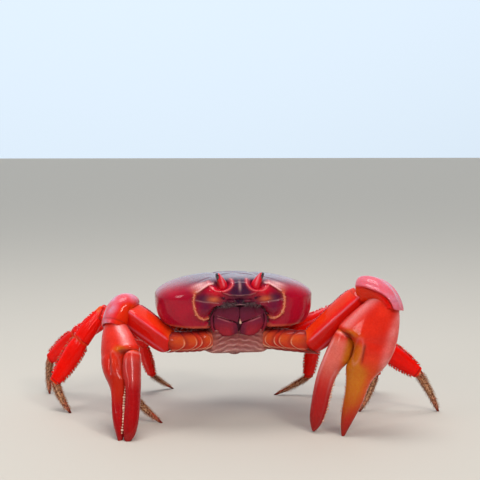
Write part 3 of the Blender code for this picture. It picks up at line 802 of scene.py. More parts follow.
def red_of(x, y, z):
    x = np.abs(x)
    under_eye = bump_at(x, z, (14.8, 87.0), (4.4, 2.8)) * 1.3
    inner_rim = bump_at(x, z, (6.4, 91.0), (1.0, 3.0)) * 0.4
    rim = bell(orbit_measure(x, z) - 1.12, 0.16) * 0.8
    cheek = bump_at(x, z, (38, 76), (12, 13)) * 0.3
    return (under_eye + inner_rim + rim) * on_face(y) + cheek * ramp(-y, -5.0, 15.0)


def warm_of(x, y, z):
    x = np.abs(x)
    ridge = bell(line_distance(x, z, CHEEK_RIDGE), 0.8)
    patch = bump_at(x, z, (16.0, 82.0), (3.4, 1.7))
    corner = bump_at(x, z, (26.6, 86.6), (2.0, 1.4))
    hem = ramp(-z, -66.0, -64.5) * 0.5
    return (0.85 * ridge + patch + 0.7 * corner) * on_face(y) + hem * ramp(-y, 0.0, 10.0)


def pale_of(x, y, z):
    x = np.abs(x)
    # painted highlights on the brow line, the margin, the socket rims and the raised lip over the
    # mouth
    brow = bell(line_distance(x, z, BROW_LINE), 0.35) * 0.3
    margin = bell(line_distance(x, z, MARGIN_LINE), 0.5) * 0.75
    # a painted glare patch beside each socket, broken into speckles
    glare_speckle = 0.75 + 0.25 * np.sin(3.1 * x + 1.3 * z) * np.sin(2.3 * z - 1.7 * x)
    corner = bump_at(x, z, (24.0, 91.0), (5.6, 3.0)) * 1.1 * glare_speckle
    corner = corner * ramp(-under_margin(x, z), -0.4, 0.6)
    # a painted glint on the brow
    glint = bump_at(x, z, (0.0, 90.2), (0.8, 2.6)) * 0.5
    orbit_rim = bell(orbit_measure(x, z) - 1.14, 0.06) * 0.3
    seam = bell(line_distance(x, z, SUTURE), 0.3) * 0.3
    lip = bell(z - 78.7 + 0.03 * x**2, 0.3) * (x < 8) * 0.4
    return (brow + margin + corner + glint + orbit_rim + seam + lip) * on_face(y)


paint(carapace, dusk=dusk_of, red=red_of, warm=warm_of, pale=pale_of)
put(carapace)
finish_piece(carapace, body_finish, ["carapace"])
print("carapace box:", [round(v, 4) for v in carapace.dimensions])

# %% [markdown]
# The eyes of a land crab are short red stalks. Each leans out of its socket towards the
# side, and the black cornea wraps the outer face of its tip. The stalk is grown like a
# limb. The cornea is a ball, drawn out and set a little to the outer side.

# %% Eyes
EYE_ROOT = (9.6, -28.0, 88.0)
EYE_TIP = (13.3, -31.6, 97.8)
EYE_LENGTH = math.dist(EYE_ROOT, EYE_TIP)
STALK_RINGS = [(-1.5, 2.4, 2.4, 2.4), (0.5, 3.2, 3.2, 3.2), (2.6, 3.5, 3.4, 3.6),
               (4.4, 3.2, 3.1, 3.2), (6.2, 2.6, 2.6, 2.6), (8.2, 2.0, 2.0, 2.0),
               (9.8, 1.45, 1.5, 1.5), (11.0, 0.9, 0.9, 0.9), (11.6, 0.35, 0.4, 0.4)]


def limb_frame(start, end, swing, drawn_length, size=1.0):
    """The place of a piece drawn along +Z: from start to end, its +Y to the dorsal side."""
    along = (end - start).normalized()
    dorsal = along.cross(swing).normalized()
    side = dorsal.cross(along)
    turn = Matrix((side, dorsal, along)).transposed().to_4x4()
    stretch = (end - start).length / (drawn_length * MM)
    return Matrix.Translation(start) @ turn @ Matrix.Diagonal((size, size, stretch, 1.0))


def mirror_point(point, side):
    """A point given for the left side, on that side of the crab."""
    return at(point[0] * side, point[1], point[2])


for side, name in SIDES:
    eye_frame = limb_frame(mirror_point(EYE_ROOT, side), mirror_point(EYE_TIP, side),
                           Vector((1, 0, 0)), EYE_LENGTH)
    stalk = grow(f"eye_stalk_{name}", STALK_RINGS, sides=14, smooth=2)
    paint(stalk,
          dark=lambda x, y, z: 0.8 * ramp(-z, -2.2, 0.6)
          + 0.8 * ramp(x * side, 0.6, 1.9) * ramp(z, 2.0, 5.0),
          pale=lambda x, y, z: 0.45 * bell(x * side + 1.2, 0.5) * ramp(z, 2.5, 5.0)
          * ramp(-y, -1.0, 1.0))
    put(stalk, eye_frame)
    finish_piece(stalk, eye_finish, [])

    cornea = add_piece(f"cornea_{name}", bpy.ops.mesh.primitive_uv_sphere_add, segments=24,
                       ring_count=16, radius=MM)
    sculpt(cornea, lambda points: points * (1.3, 1.6, 2.9) + (0.75 * side, -0.1, 9.2))
    put(cornea, eye_frame)
    finish_piece(cornea, cornea_finish, [f"eye_{name}"])
print("eyes:", round(EYE_LENGTH, 1), "mm tall")

# %% [markdown]
# The third maxillipeds are the doors of the mouth: on each side a larger lower plate
# and a smaller upper one, each with a long groove, and a slim outer rod. Where the
# four plates meet they leave a dark lozenge, through which a pale inner tooth shows.
# A plate is a cube, subdivided in edit mode, rounded, and set to its outline.

# %% Mouth plates
def cushion(name, cuts, power=0.32):
    """A cube of 2 mm whose edges and corners are well rounded."""
    piece = add_piece(name, bpy.ops.mesh.primitive_cube_add, size=2 * MM)
    edit(piece, bpy.ops.mesh.subdivide, number_cuts=cuts)

    def round_off(points):
        reach = np.max(np.abs(points), axis=1)
        length = np.linalg.norm(points, axis=1)
        return points * (reach / length)[:, None] ** power

    sculpt(piece, round_off)
    return piece


JAW_SLOPE = [(57.0, -25.6), (66.0, -29.4), (77.0, -31.0)]          # z and y of the plates' faces


def plate_shape(side, corners, swells, bow, furrow):
    """Fit a cushion to four corners (x, z) whose sides swell by so many millimetres.

    The corners run inner low, outer low, inner high, outer high; the sides low, high,
    inner, outer. A furrow runs up the plate at that share of its width."""
    inner_low, outer_low, inner_high, outer_high = (np.array(corner) for corner in corners)
    low, high, inner, outer = swells

    def fit(points):
        across = ((points[:, 0] * side + 1) / 2)[:, None]
        up = ((points[:, 2] + 1) / 2)[:, None]
        flat = ((inner_low * (1 - across) + outer_low * across) * (1 - up)
                + (inner_high * (1 - across) + outer_high * across) * up)
        hump_across, hump_up = 4 * across * (1 - across), 4 * up * (1 - up)
        flat = flat + np.concatenate([hump_up * (outer * across - inner * (1 - across)),
                                      hump_across * (high * up - low * (1 - up))], axis=1)
        x, z = flat[:, 0], flat[:, 1]
        ahead = ramp(-points[:, 1], -0.4, 0.6)
        middle = hump_across[:, 0] ** 0.6 * hump_up[:, 0] ** 0.5
        groove = 0.8 * bell(across[:, 0] - furrow, 0.07) * hump_up[:, 0]
        slope = read(JAW_SLOPE, z)
        face = slope + 0.012 * x**2 - bow * middle + groove
        y = np.where(points[:, 1] > 0, slope + 2.6, face + 1.3 * (1 - ahead))
        return np.stack([x * side, y, z], 1)

    return fit


LOWER_CORNERS = [(0.5, 60.3), (12.8, 58.8), (1.5, 66.95), (15.6, 71.5)]
UPPER_CORNERS = [(0.9, 67.1), (15.5, 71.65), (0.1, 77.2), (11.0, 78.2)]
JAW_SEAM = [(1.5, 66.9), (15.2, 71.5)]
ROD_RINGS = [(59.8, 0.5, 0.9, 0.9), (61.2, 0.95, 1.6, 1.6), (66.0, 1.1, 1.7, 1.7),
             (71.0, 0.95, 1.5, 1.5), (75.0, 0.65, 1.0, 1.0), (76.4, 0.3, 0.4, 0.4)]
ROD_BEND = [(59.0, 13.9), (64.0, 16.4), (70.0, 17.0), (76.0, 14.4)]         # z and x

for side, name in SIDES:
    lower = cushion(f"jaw_lower_plate_{name}", 26, 0.2)
    sculpt(lower, plate_shape(side, LOWER_CORNERS, (1.4, 0.2, 0.2, 1.2), 1.7, 0.36))
    upper = cushion(f"jaw_upper_plate_{name}", 24, 0.2)
    sculpt(upper, plate_shape(side, UPPER_CORNERS, (-0.25, 0.4, 0.55, 1.5), 1.5, 0.72))
    for plate in (lower, upper):
        # On the plates the pale line beside the seam is a painted highlight, the brighter crimson
        # low down is painted light, and the darker tops under the frame and darker backs in the
        # gaps are painted shade.
        paint(plate,
              pale=lambda x, y, z: 0.5 * ramp(np.abs(x), 4.0, 8.0)
              * bell(line_distance(np.abs(x), z, JAW_SEAM) - 0.55, 0.35),
              warm=lambda x, y, z: 0.8 * ramp(-z, -70.0, -60.0) * ramp(np.abs(x), 2.0, 6.0),
              dark=lambda x, y, z: 0.7 * ramp(z, 71.0, 77.5) + 0.5 * ramp(y, -27.6, -26.0))
        put(plate)
    finish_piece(lower, face_finish, [f"maxilliped_{name}"])
    finish_piece(upper, face_finish, [])

    rod = grow(f"jaw_outer_rod_{name}", ROD_RINGS, sides=10, smooth=1)
    sculpt(rod, lambda points: points + np.stack([
        side * read(ROD_BEND, points[:, 2]), read(JAW_SLOPE, points[:, 2]) + 3.6,
        0 * points[:, 0]], 1))
    # Brighter low down and darker up under the frame: painted light and shade.
    paint(rod, warm=lambda x, y, z: 0.5 * ramp(-z, -70.0, -60.0),
          dark=lambda x, y, z: 0.5 * ramp(z, 68.0, 76.0))
    put(rod)
    finish_piece(rod, face_finish, [])
print("mouth: two plates and a rod on each side")

# %% [markdown]
# Behind the plates lies the floor of the mouth frame, darkened with painted shade and
# most of all in the middle, and in the lozenge between them one pale tooth of the inner
# jaw. Above the plates the short inner feelers are folded away, and the outer feelers
# stand beside the eyes.

# %% Mouth floor, inner tooth and feelers
mouth_floor = cushion("mouth_floor", 8)
sculpt(mouth_floor, lambda points: points * (15.6, 1.0, 9.6) + (0.0, 2.6, 68.0))
sculpt(mouth_floor, lambda points: points + np.outer(read(JAW_SLOPE, points[:, 2]), (0, 1, 0)))
# Darker all over, and most in the middle where it shows through the lozenge: painted shade.
paint(mouth_floor, dark=lambda x, y, z: 0.3 + 0.7 * bell(x, 2.5))
put(mouth_floor)
finish_piece(mouth_floor, face_finish, [])

inner_tooth = grow("inner_tooth", [(0, 0.7, 0.6, 0.6), (1.4, 0.85, 0.7, 0.7), (3.2, 0.5, 0.5, 0.5),
                                   (4.2, 0.15, 0.2, 0.2)], sides=10, smooth=1)
put(inner_tooth, Matrix.Translation(at(0.7, -29.2, 66.2)))
finish_piece(inner_tooth, tooth_finish, [])

FOLDED_RINGS = [(0, 0.5, 0.5, 0.5), (0.8, 0.9, 0.9, 0.9), (2.4, 1.05, 1.0, 1.0),
                (4.0, 0.8, 0.8, 0.8), (5.0, 0.35, 0.35, 0.35)]
FEELER_RINGS = [(0.0, 1.2, 1.1, 1.1), (0.8, 1.2, 1.15, 1.15), (1.6, 0.8, 0.8, 0.8)]
for joint in range(7):
    along, thick = 1.8 + 0.62 * joint, 0.55 - 0.045 * joint
    FEELER_RINGS += [(along, *[thick * 0.8] * 3), (along + 0.4, *[thick] * 3)]

for side, name in SIDES:
    folded = grow(f"inner_feeler_{name}", FOLDED_RINGS, sides=10, smooth=1)
    # The pale along the top is a painted highlight.
    paint(folded, dark=lambda x, y, z: 0.35, pale=lambda x, y, z: 0.5 * ramp(y, 0.3, 0.8))
    put(folded, limb_frame(at(2.6 * side, -30.4, 80.6), at(7.4 * side, -31.6, 80.9),
                           Vector((0, 1, 0)), 5.0))
    finish_piece(folded, face_finish, [])

    feeler = grow(f"feeler_{name}", FEELER_RINGS, sides=8, smooth=1)
    paint(feeler, warm=lambda x, y, z: 0.4 * ramp(z, 1.0, 5.0),
          dark=lambda x, y, z: 0.7 - 0.4 * ramp(z, 1.5, 5.0))
    put(feeler, limb_frame(at(9.4 * side, -30.4, 82.6), at(13.4 * side, -34.4, 84.2),
                           Vector((1, 0, 0)), 6.6))
    finish_piece(feeler, face_finish, [f"antenna_{name}"])
print("feelers: an inner and an outer one on each side")

# %% [markdown]
# Rows of beads follow the cheek ridges. A line is walked at even steps, and each bead
# is dropped on the finished shell there, a little sunk in, with its own small size.

# %% Beads on the cheek ridges
def walk(line, step):
    """Points at even steps along a bent line."""
    stops, carry = [], 0.0
    for start, end in zip(line, line[1:]):
        start, end = Vector(start), Vector(end)
        length = (end - start).length
        while carry < length:
            stops.append(start.lerp(end, carry / length))
            carry += step
        carry -= length
    return stops


def on_shell(x, z):
    """Where a line from in front meets the finished face, and which way it faces."""
    return carapace.ray_cast(at(x, -60.0, z), Vector((0, 1, 0)))[1:3]


rng = np.random.default_rng(7)
BEAD_LEAN = (0.2, 0, 1)
beads = []
for side in (-1, 1):
    for spot in walk(CHEEK_RIDGE, 0.92):
        place, normal = on_shell(spot.x * side, spot.y)
        width = MM * rng.uniform(0.9, 1.45)
        beads.append((place - normal * 0.1 * MM, normal, BEAD_LEAN, width, width * 0.8))
        if rng.random() < 0.45:
            aside = Vector((rng.choice((-1.0, 1.0)), 0, rng.normal(0, 0.5))) * 0.8 * MM
            beads.append((place + aside - normal * 0.15 * MM, normal, BEAD_LEAN,
                          width * 0.7, width * 0.55))
ridge_beads = plant("cheek_ridge_beads", granule, beads)
finish_piece(ridge_beads, pearl_finish, [])
print("beads:", len(beads))

# %% [markdown]
# Dark hair stands round the mouth frame like a moustache. Each hair is a solid,
# three-sided bristle. It is planted on the shell just outside the frame and leans in
# over the plates. Every hair keeps a small patch of a flat map, placed where its root
# lies on the face, which an export needs to bake its colour.

# %% Hair of the mouth frame
HAIR_LINE = [(18.2, 66.5), (17.5, 71.0), (15.2, 75.4), (11.4, 78.2), (7.2, 79.4), (2.5, 80.0)]
HAIR_STEP = 0.085                  # millimetres of the line from hair to hair
HAIR_WIDTH = 0.26 * MM
FACE_MAP = 80.0                    # millimetres of face across the whole flat map
hairs, spots = [], []
for side in (-1, 1):
    for spot in walk(HAIR_LINE, HAIR_STEP):
        x = spot.x * side + rng.normal(0, 0.75)
        z = spot.y + rng.normal(0, 0.75)
        place, normal = on_shell(x, z)
        inward = Vector((-x, 0, 70.0 - z)).normalized()
        lean = normal * 0.75 + inward * rng.uniform(0.5, 1.1) + Vector(rng.normal(0, 0.16, 3))
        lean.normalize()
        hairs.append((place, lean, inward, HAIR_WIDTH, MM * rng.uniform(1.8, 3.6)))
        spots.append((x / FACE_MAP + 0.5, z / FACE_MAP - 0.5))
mouth_hair = plant("mouth_hair", bristle, hairs, spots)
finish_piece(mouth_hair, hair_finish, [])
print("mouth hairs:", len(hairs))

# %% [markdown]
# A walking leg has five visible lengths: a ringed root, the long flat merus, the short
# carpus, the flat propodus and the pointed toe, or dactylus. They are alike on all
# eight legs, so each kind is drawn once, along +Z with its upper edge to +Y, and then
# copied, stretched to its leg and set between two joints. The joints are the same
# places that the solids were built on.

# %% Joints of the legs
ROOTS = [(18.4, -19.2, 34.0), (24.6, -7.8, 14.0), (26.6, 3.0, 0.0),
         (25.0, 13.6, -20.0), (19.4, 23.0, -42.0)]       # half width, y, facing in degrees
ROOT_HEIGHT = 52.2
ROOT_LENGTH = 11.5
LEG_JOINTS = {                                            # knee, wrist, ankle, toe
    "r1": [(-67, 11, 58), (-73, 9, 43), (-67, 2, 19), (-47, -7, 0)],
    "r2": [(-84, 32, 65), (-97, 34, 47), (-115, 36, 19), (-105, 25, 0)],
    "r3": [(-80, 51, 57), (-101, 67, 43), (-120, 82, 25), (-121, 80, 0)],
    "r4": [(-49, 54, 50), (-56, 66, 37), (-49, 74, 13), (-33, 83, 0)],
    "l1": [(81, -9, 68), (96, -7, 46), (122, -5, 27), (137, -4, 0)],
    "l2": [(78, 9, 68), (97, 7, 53), (96, 6, 24), (85, 2, 0)],
    "l3": [(80, 27, 64), (101, 37, 50), (103, 52, 18), (95, 61, 0)],
    "l4": [(57, 40, 54), (63, 45, 39), (60, 48, 14), (37, 54, 0)],
}
LEG_SIZE = {"1": 1.0, "2": 1.04, "3": 1.0, "4": 0.86}


def root_of(index, side):
    half, y, _ = ROOTS[index]
    return at(half * side, y, ROOT_HEIGHT)


def root_facing(index, side):
    ahead = math.radians(ROOTS[index][2])
    return Vector((math.cos(ahead) * side, -math.sin(ahead), 0.0))


def leg_line(key):
    """The five joints of a leg, hip to toe, and the axis that it bends about."""
    side, order = (-1 if key[0] == "r" else 1), int(key[1])
    root, facing = root_of(order, side), root_facing(order, side)
    knee, wrist, ankle, toe = (at(*place) for place in LEG_JOINTS[key])
    outward = Vector((knee.x - root.x, knee.y - root.y, 0.0)).normalized()
    hip = root + (facing + outward).normalized() * ROOT_LENGTH * MM + Vector((0, 0, MM))
    return [hip, knee, wrist, ankle, toe], (knee - hip).cross(toe - knee)


for key in LEG_JOINTS:
    stops = leg_line(key)[0]
    print("leg", key, [round((far - near).length / MM) for near, far in zip(stops, stops[1:])])

# %% [markdown]
# Each kind is grown from a few rings. A limb bends without gaps because the far end of
# a piece has a thin rim with a hollow inside it, and the next piece starts as a narrow
# round neck that sits in that hollow. After softening, the points are moved a little:
# the upper edge is drawn narrower, and a shallow channel runs along both flat sides.

# %% The four kinds of leg piece
DRAWN_LENGTH = {"merus": 46.0, "carpus": 18.0, "propodus": 30.0, "dactylus": 26.0}
LEG_RINGS = {                                             # share of length, half, rise, drop
    "merus": [(-0.05, 1.2, 1.8, 1.8), (-0.035, 2.3, 3.3, 3.4), (0.02, 2.9, 4.3, 4.5),
              (0.14, 3.3, 5.6, 5.8), (0.38, 3.8, 6.9, 6.7), (0.64, 3.85, 7.0, 6.5),
              (0.86, 3.6, 6.3, 5.8), (0.955, 3.4, 5.7, 5.3), (0.98, 3.65, 6.1, 5.7),
              (1.0, 3.6, 6.0, 5.6), (1.005, 3.0, 5.0, 4.8), (0.97, 2.4, 4.2, 4.0)],
    "carpus": [(-0.2, 1.6, 2.4, 2.4), (-0.14, 2.5, 3.8, 3.8), (0.02, 2.8, 4.3, 4.4),
               (0.2, 3.2, 5.1, 4.9), (0.45, 3.6, 6.1, 5.5), (0.75, 3.75, 6.8, 6.1),
               (0.92, 3.6, 6.6, 6.1), (0.98, 3.8, 6.9, 6.4), (1.03, 3.7, 6.7, 6.2),
               (1.04, 3.0, 5.6, 5.2), (0.97, 2.4, 4.6, 4.2)],
    "propodus": [(-0.14, 1.6, 2.8, 2.8), (-0.09, 2.4, 4.2, 4.2), (0.0, 2.9, 5.3, 5.3),
                 (0.12, 3.3, 6.3, 6.4), (0.32, 3.4, 6.7, 6.9), (0.6, 3.2, 6.0, 6.4),
                 (0.85, 2.8, 4.7, 5.1), (0.95, 2.6, 4.1, 4.4), (0.985, 2.8, 4.2, 4.5),
                 (1.01, 2.7, 4.0, 4.3), (1.015, 2.1, 3.2, 3.4), (0.98, 1.6, 2.4, 2.6)],
    "dactylus": [(-0.1, 1.1, 1.6, 1.6), (-0.07, 1.7, 2.4, 2.4), (0.0, 2.0, 2.8, 2.8),
                 (0.16, 2.1, 3.2, 2.5), (0.4, 1.8, 3.2, 1.7), (0.65, 1.45, 2.6, 1.2),
                 (0.86, 1.0, 1.6, 1.1), (0.97, 0.7, 0.8, 1.2), (1.03, 0.3, 0.1, 1.0)],
}


def flatten_flanks(amount, channel):
    """Narrow the upper edge and press a channel along both flat sides."""
    def move(points):
        x, y, z = points.T
        slim = 1 - amount * np.clip(y / 7.0, -0.6, 1.0)
        dent = channel * bell(y - 0.5, 1.6) * np.sign(x) * ramp(np.abs(x), 1.0, 2.6)
        return np.stack([x * slim - dent, y, z], 1)

    return move


leg_models = {}
for kind, rings in LEG_RINGS.items():
    length, toe = DRAWN_LENGTH[kind], kind == "dactylus"
    model = grow(f"{kind}_model", [(share * length, *ring) for share, *ring in rings], smooth=2)
    sculpt(model, flatten_flanks(0.22 if kind == "merus" else 0.1, 0.45))
    paint(model, warm=lambda x, y, z: 0.9 * ramp(-z, -0.06 * length, 0.03 * length)
          + 0.5 * ramp(z, 0.985 * length, 1.0 * length))
    if toe:
        paint(model, pale=lambda x, y, z: 0.7 * bell(y - 0.6, 0.7),
              red=lambda x, y, z: ramp(-z, -0.2 * length, 0.02 * length)
              + 0.8 * ramp(z, 0.55 * length, 0.8 * length),
              dark=lambda x, y, z: ramp(z, 0.84 * length, 1.0 * length) * 0.9)
    else:
        # The pale along the upper edge is painted sheen.
        paint(model, pale=lambda x, y, z: 0.28 * ramp(y, 4.5, 7.0),
              dark=lambda x, y, z: 0.75 * bell(z / length - 0.965, 0.012))
    leg_models[kind] = model
print("leg models:", {kind: len(model.data.polygons) for kind, model in leg_models.items()})

# %% [markdown]
# Along the edges of a living leg stand spines: blunt teeth on the carpus and propodus
# and six rows of dark horny points down the toe, with stiff golden bristles between
# them. Their places are read from the same rings that the pieces were grown from.

# %% Places on a leg's skin
def spot_on(matrix, local):
    """A place on a drawn piece, in millimetres, once the piece is set by its matrix."""
    return matrix @ (Vector(local) * MM)


def way_on(matrix, local):
    return (matrix.to_3x3() @ Vector(local)).normalized()


def skin_spot(kind, share, turn, matrix):
    """Where a line at that angle round a piece meets its skin, and which way it faces."""
    shares, halves, rises, drops = (np.array(column) for column in zip(*LEG_RINGS[kind]))
    keep = np.concatenate([[True], np.diff(shares) > 0])
    half, rise, drop = (np.interp(share, shares[keep], sizes[keep])
                        for sizes in (halves, rises, drops))
    tall, middle = (rise + drop) / 2, (rise - drop) / 2
    local = (half * math.cos(turn), middle + tall * math.sin(turn), share * DRAWN_LENGTH[kind])
    outward = Vector((math.cos(turn) / half, math.sin(turn) / tall, 0.0)).normalized()
    return spot_on(matrix, local), way_on(matrix, outward), way_on(matrix, (0, 0, 1))


SKIN_MAP_CELL = 1 / 8              # each leg has a column of the flat map, each kind a row
TOE_ROWS = [math.radians(angle) for angle in (90, 38, 142, 218, 322, 270)]
EDGE_ROWS = {"merus": [90], "carpus": [90, 62, 118], "propodus": [90, 78, 102, 270, 258, 282],
             "dactylus": []}

HAIR_ROWS = {"propodus": [math.radians(angle) for angle in (84, 96, 264, 276)],
             "dactylus": TOE_ROWS}
EDGE_GAP, TOE_GAP, HAIR_GAP = 2.1, 2.0, 0.55       # millimetres from one to the next
EDGE_SPINE_WIDTH, TOE_SPINE_WIDTH = 1.25 * MM, 0.62 * MM
SPINE_FLOOR, HAIR_FLOOR = 1.3 * MM, 2.5 * MM       # none grow nearer to the ground

leg_spines, leg_hairs, leg_spots, toe_spines = [], [], [], []
for column, key in enumerate(LEG_JOINTS):
    stops, swing = leg_line(key)
    for row, kind in enumerate(LEG_RINGS):
        toe = kind == "dactylus"
        near, far = stops[row], stops[row + 1]
        matrix = limb_frame(near, far, swing, DRAWN_LENGTH[kind], LEG_SIZE[key[1]])
        piece = copy_of(leg_models[kind], f"leg_{key}_{kind}_shell")
        put(piece, matrix)
        if toe:
            trim_to_floor(piece)
        finish_piece(piece, toe_finish if toe else leg_finish, [f"leg_{key}_{kind}"])

        length = (far - near).length / MM
        for angle in EDGE_ROWS[kind]:
            turn = math.radians(angle)
            for share in np.arange(0.12, 0.93, EDGE_GAP / length):
                place, out, ahead = skin_spot(kind, share + rng.normal(0, 0.01), turn, matrix)
                tall = MM * rng.uniform(0.6, 1.0) * (0.75 if kind == "merus" else 1.0)
                leg_spines.append((place - out * 0.25 * MM, out + ahead * 0.6, ahead,
                                   EDGE_SPINE_WIDTH, tall * 1.7))
        for turn in TOE_ROWS if toe else []:
            for share in np.arange(0.08, 0.9, TOE_GAP / length):
                place, out, ahead = skin_spot(kind, share + rng.normal(0, 0.01), turn, matrix)
                tall = MM * rng.uniform(0.8, 1.25) * (1.1 - 0.5 * share)
                if place.z > SPINE_FLOOR:
                    toe_spines.append((place - out * 0.2 * MM, out + ahead * 0.9, ahead,
                                       TOE_SPINE_WIDTH, tall))
        for turn in HAIR_ROWS.get(kind, []):
            for share in np.arange(0.05, 0.92, HAIR_GAP / length):
                place, out, ahead = skin_spot(kind, share, turn + rng.normal(0, 0.13), matrix)
                lean = out * rng.uniform(0.5, 1.0) + ahead * 0.8 + Vector(rng.normal(0, 0.2, 3))
                lean.normalize()
                if place.z > HAIR_FLOOR:
                    leg_hairs.append((place, lean, ahead, HAIR_WIDTH, MM * rng.uniform(1.1, 2.3)))
                    leg_spots.append(((column + turn % math.tau / math.tau * 0.9) * SKIN_MAP_CELL,
                                      (row + share) * SKIN_MAP_CELL))

edge_spines = plant("leg_edge_spines", spine, leg_spines)
finish_piece(edge_spines, leg_finish, [])
toe_points = plant("toe_spines", spine, toe_spines)
finish_piece(toe_points, horn_finish, [])
bristles = plant("leg_bristles", bristle, leg_hairs, leg_spots)
finish_piece(bristles, bristle_finish, [])
for model in leg_models.values():
    discard(model)
print("legs: spines", len(leg_spines) + len(toe_spines), "bristles", len(leg_hairs))

# %% [markdown]
# The root of a leg is a run of short rings that lets it swing. It leaves the chest
# squarely and turns towards the leg, so it is drawn straight and then laid along a
# smooth bend: every point keeps its place across, and its height picks a spot on the
# bend. The same way serves for the heavier roots of the claws.

# %% Ringed roots
def on_curve(stops, share):
    """The point at a share of a smooth curve of three stops, and the way it runs there."""
    first, middle, last = stops
    share = share[:, None]
    centre = first * (1 - share) ** 2 + middle * 2 * share * (1 - share) + last * share**2
    return centre, unit((middle - first) * (1 - share) + (last - middle) * share)


def bend_to(start, facing, end, drawn_length):
    """A rule that lays a straight drawing along a curve from start to end, in mm."""
    first, last = np.array(start) / MM, np.array(end) / MM
    middle = first + np.array(facing) * np.linalg.norm(last - first) * 0.5

    def move(points):
        centre, along = on_curve((first, middle, last), points[:, 2] / drawn_length)
        side = unit(np.cross(along, (0.0, 0.0, 1.0)))
        return centre + side * points[:, :1] + np.cross(side, along) * points[:, 1:2]

    return move


def root_rings(starts, length, sizes, depth):
    """Rings of a root: each sheath starts with a lip and narrows into the next one."""
    rings = [(-1.0, *[value * 0.7 for value in sizes[0]])]
    for start, stop in zip(starts, starts[1:] + [length]):
        run = stop - start
        for share, scale in ((0.02, 1 - depth), (0.1, 1 - depth * 0.2), (0.2, 1.0), (0.5, 0.99),
                             (0.85, 1 - depth * 0.4), (0.98, 1 - depth)):
            along = start + share * run
            rings.append((along, *[(a + (b - a) * along / length) * scale
                                   for a, b in zip(*sizes)]))
    rings.append((length + 1.2, *[value * 0.8 for value in sizes[1]]))
    rings.append((length + 2.0, *[value * 0.5 for value in sizes[1]]))
    return rings


def root_paint(piece, starts, length):
    """Pale lips, dark seams, painted shade on top under the shell and along the bottom, and
    sheaths that turn by turn are redder or more yellow.
    """
    edges = np.array(starts + [length])

    def sheath(z):
        """The number of the sheath, its run, and the share of it that is passed."""
        which = np.clip(np.searchsorted(edges, z, side="right") - 1, 0, len(starts) - 1)
        run = edges[which + 1] - edges[which]
        return which, run, (z - edges[which]) / run

    def warm(x, y, z):
        which, _, share = sheath(z)
        return (0.1 + 0.36 * (which % 3 > 0)) * (1 - 0.5 * share) * bell(y - 1.2, 3.2)

    def pale(x, y, z):
        which, run, share = sheath(z)
        wide = np.where(which < 2, 0.55, 0.3)
        lip = 0.85 * bell(share * run - 0.7, wide) * ramp(-y, -3.5, 2.0)
        return lip + 0.5 * bell(y + 4.7, 0.4) + 0.3 * (which == 0) + 0.15 * (which == 1)

    def dark(x, y, z):
        seam = 0.45 * ramp(sheath(z)[2], 0.6, 0.99)
        # darker on top, under the shell, and along the bottom: painted shade
        return 0.8 * ramp(y, 3.0, 6.0) + seam + 0.5 * ramp(-y, 4.9, 5.6)

    paint(piece, warm=warm, pale=pale, dark=dark)


def cup_rings(amount, length):
    """Curve the lips of the sheaths, so that each is cupped towards the chest."""
    def move(points):
        x, y, z = points.T
        inside = ramp(z, 0.0, 3.0) * ramp(-z, -length, 3.0 - length)
        lower = 1 + 1.2 * ramp(-y, 0.0, 5.0)
        return np.stack([x, y, z + amount * (y**2 * lower - 0.5 * x**2) * inside], 1)

    return move


LEG_SHEATHS, LEG_ROOT_RUN = [0.0, 4.5, 8.4], 12.0
LEG_ROOT_ENDS = ((4.4, 4.8, 4.8), (3.2, 4.2, 4.2))      # half, rise and drop at both ends
for key in LEG_JOINTS:
    side, order = (-1 if key[0] == "r" else 1), int(key[1])
    hip = leg_line(key)[0][0]
    rings = root_rings(LEG_SHEATHS, LEG_ROOT_RUN, LEG_ROOT_ENDS, 0.14)
    root = grow(f"leg_{key}_root", rings, smooth=1)
    root_paint(root, LEG_SHEATHS, LEG_ROOT_RUN)
    sculpt(root, bend_to(root_of(order, side), root_facing(order, side), hip, LEG_ROOT_RUN))
    finish_piece(root, base_finish, [f"leg_{key}_base"])
print("leg roots: 8, of three rings each")

# %% [markdown]
# The claws carry the crab's pose. The left one hangs open with its fingers apart, the
# right one is slimmer and closed. Both are drawn the same way: in the plane of the
# claw, with distance from the wrist along +Z and the movable finger towards +Y. The
# palm and its fixed finger are one shell, so they are one piece. The other finger is
# grown alone, with a broad root that turns between two lobes of the palm.

# %% Shapes of the claws
CLAWS = {
    "left": {
        "side": 1, "shoulder": (42, -28, 55), "elbow": (73, -34, 84), "wrist": (86.5, -49, 79),
        "tip": (62, -51, 0), "towards": (-16.0, 8.5, 0.0), "size": 1.0, "depth": 1.0,
        "hood": ((75, -37.5, 87), (85, -45, 88.2), (88, -50, 76.5)), "roof": 1.0, "gape": 0.0,
        "blunt": 0.0, "girth": 0.96, "crest": 0.7, "yellow": 1.0, "drop": 8.6},
    "right": {
        "side": -1, "shoulder": (-40, -16.5, 54), "elbow": (-67.5, 0, 71.5),
        "wrist": (-76, -6, 63), "tip": (-74, -41, 0), "towards": (20.0, -16.0, 0.0),
        "size": 0.87, "depth": 0.7,
        "hood": ((-65.5, -1.0, 72.2), (-71, 0.5, 76.4), (-75.6, -7, 62.4)), "roof": 0.0,
        "gape": -9.5, "blunt": 1.0, "girth": 0.92, "crest": 1.0, "yellow": 0.12, "drop": 6.8},
}
TEETH_IN_ROW = 19
TOOTH_WIDTH, TOOTH_HEIGHT, TOOTH_SUNK = 1.45 * MM, 1.1 * MM, 0.45
CLAW_LENGTH = 84.0                 # drawn length from wrist to fixed finger's tip
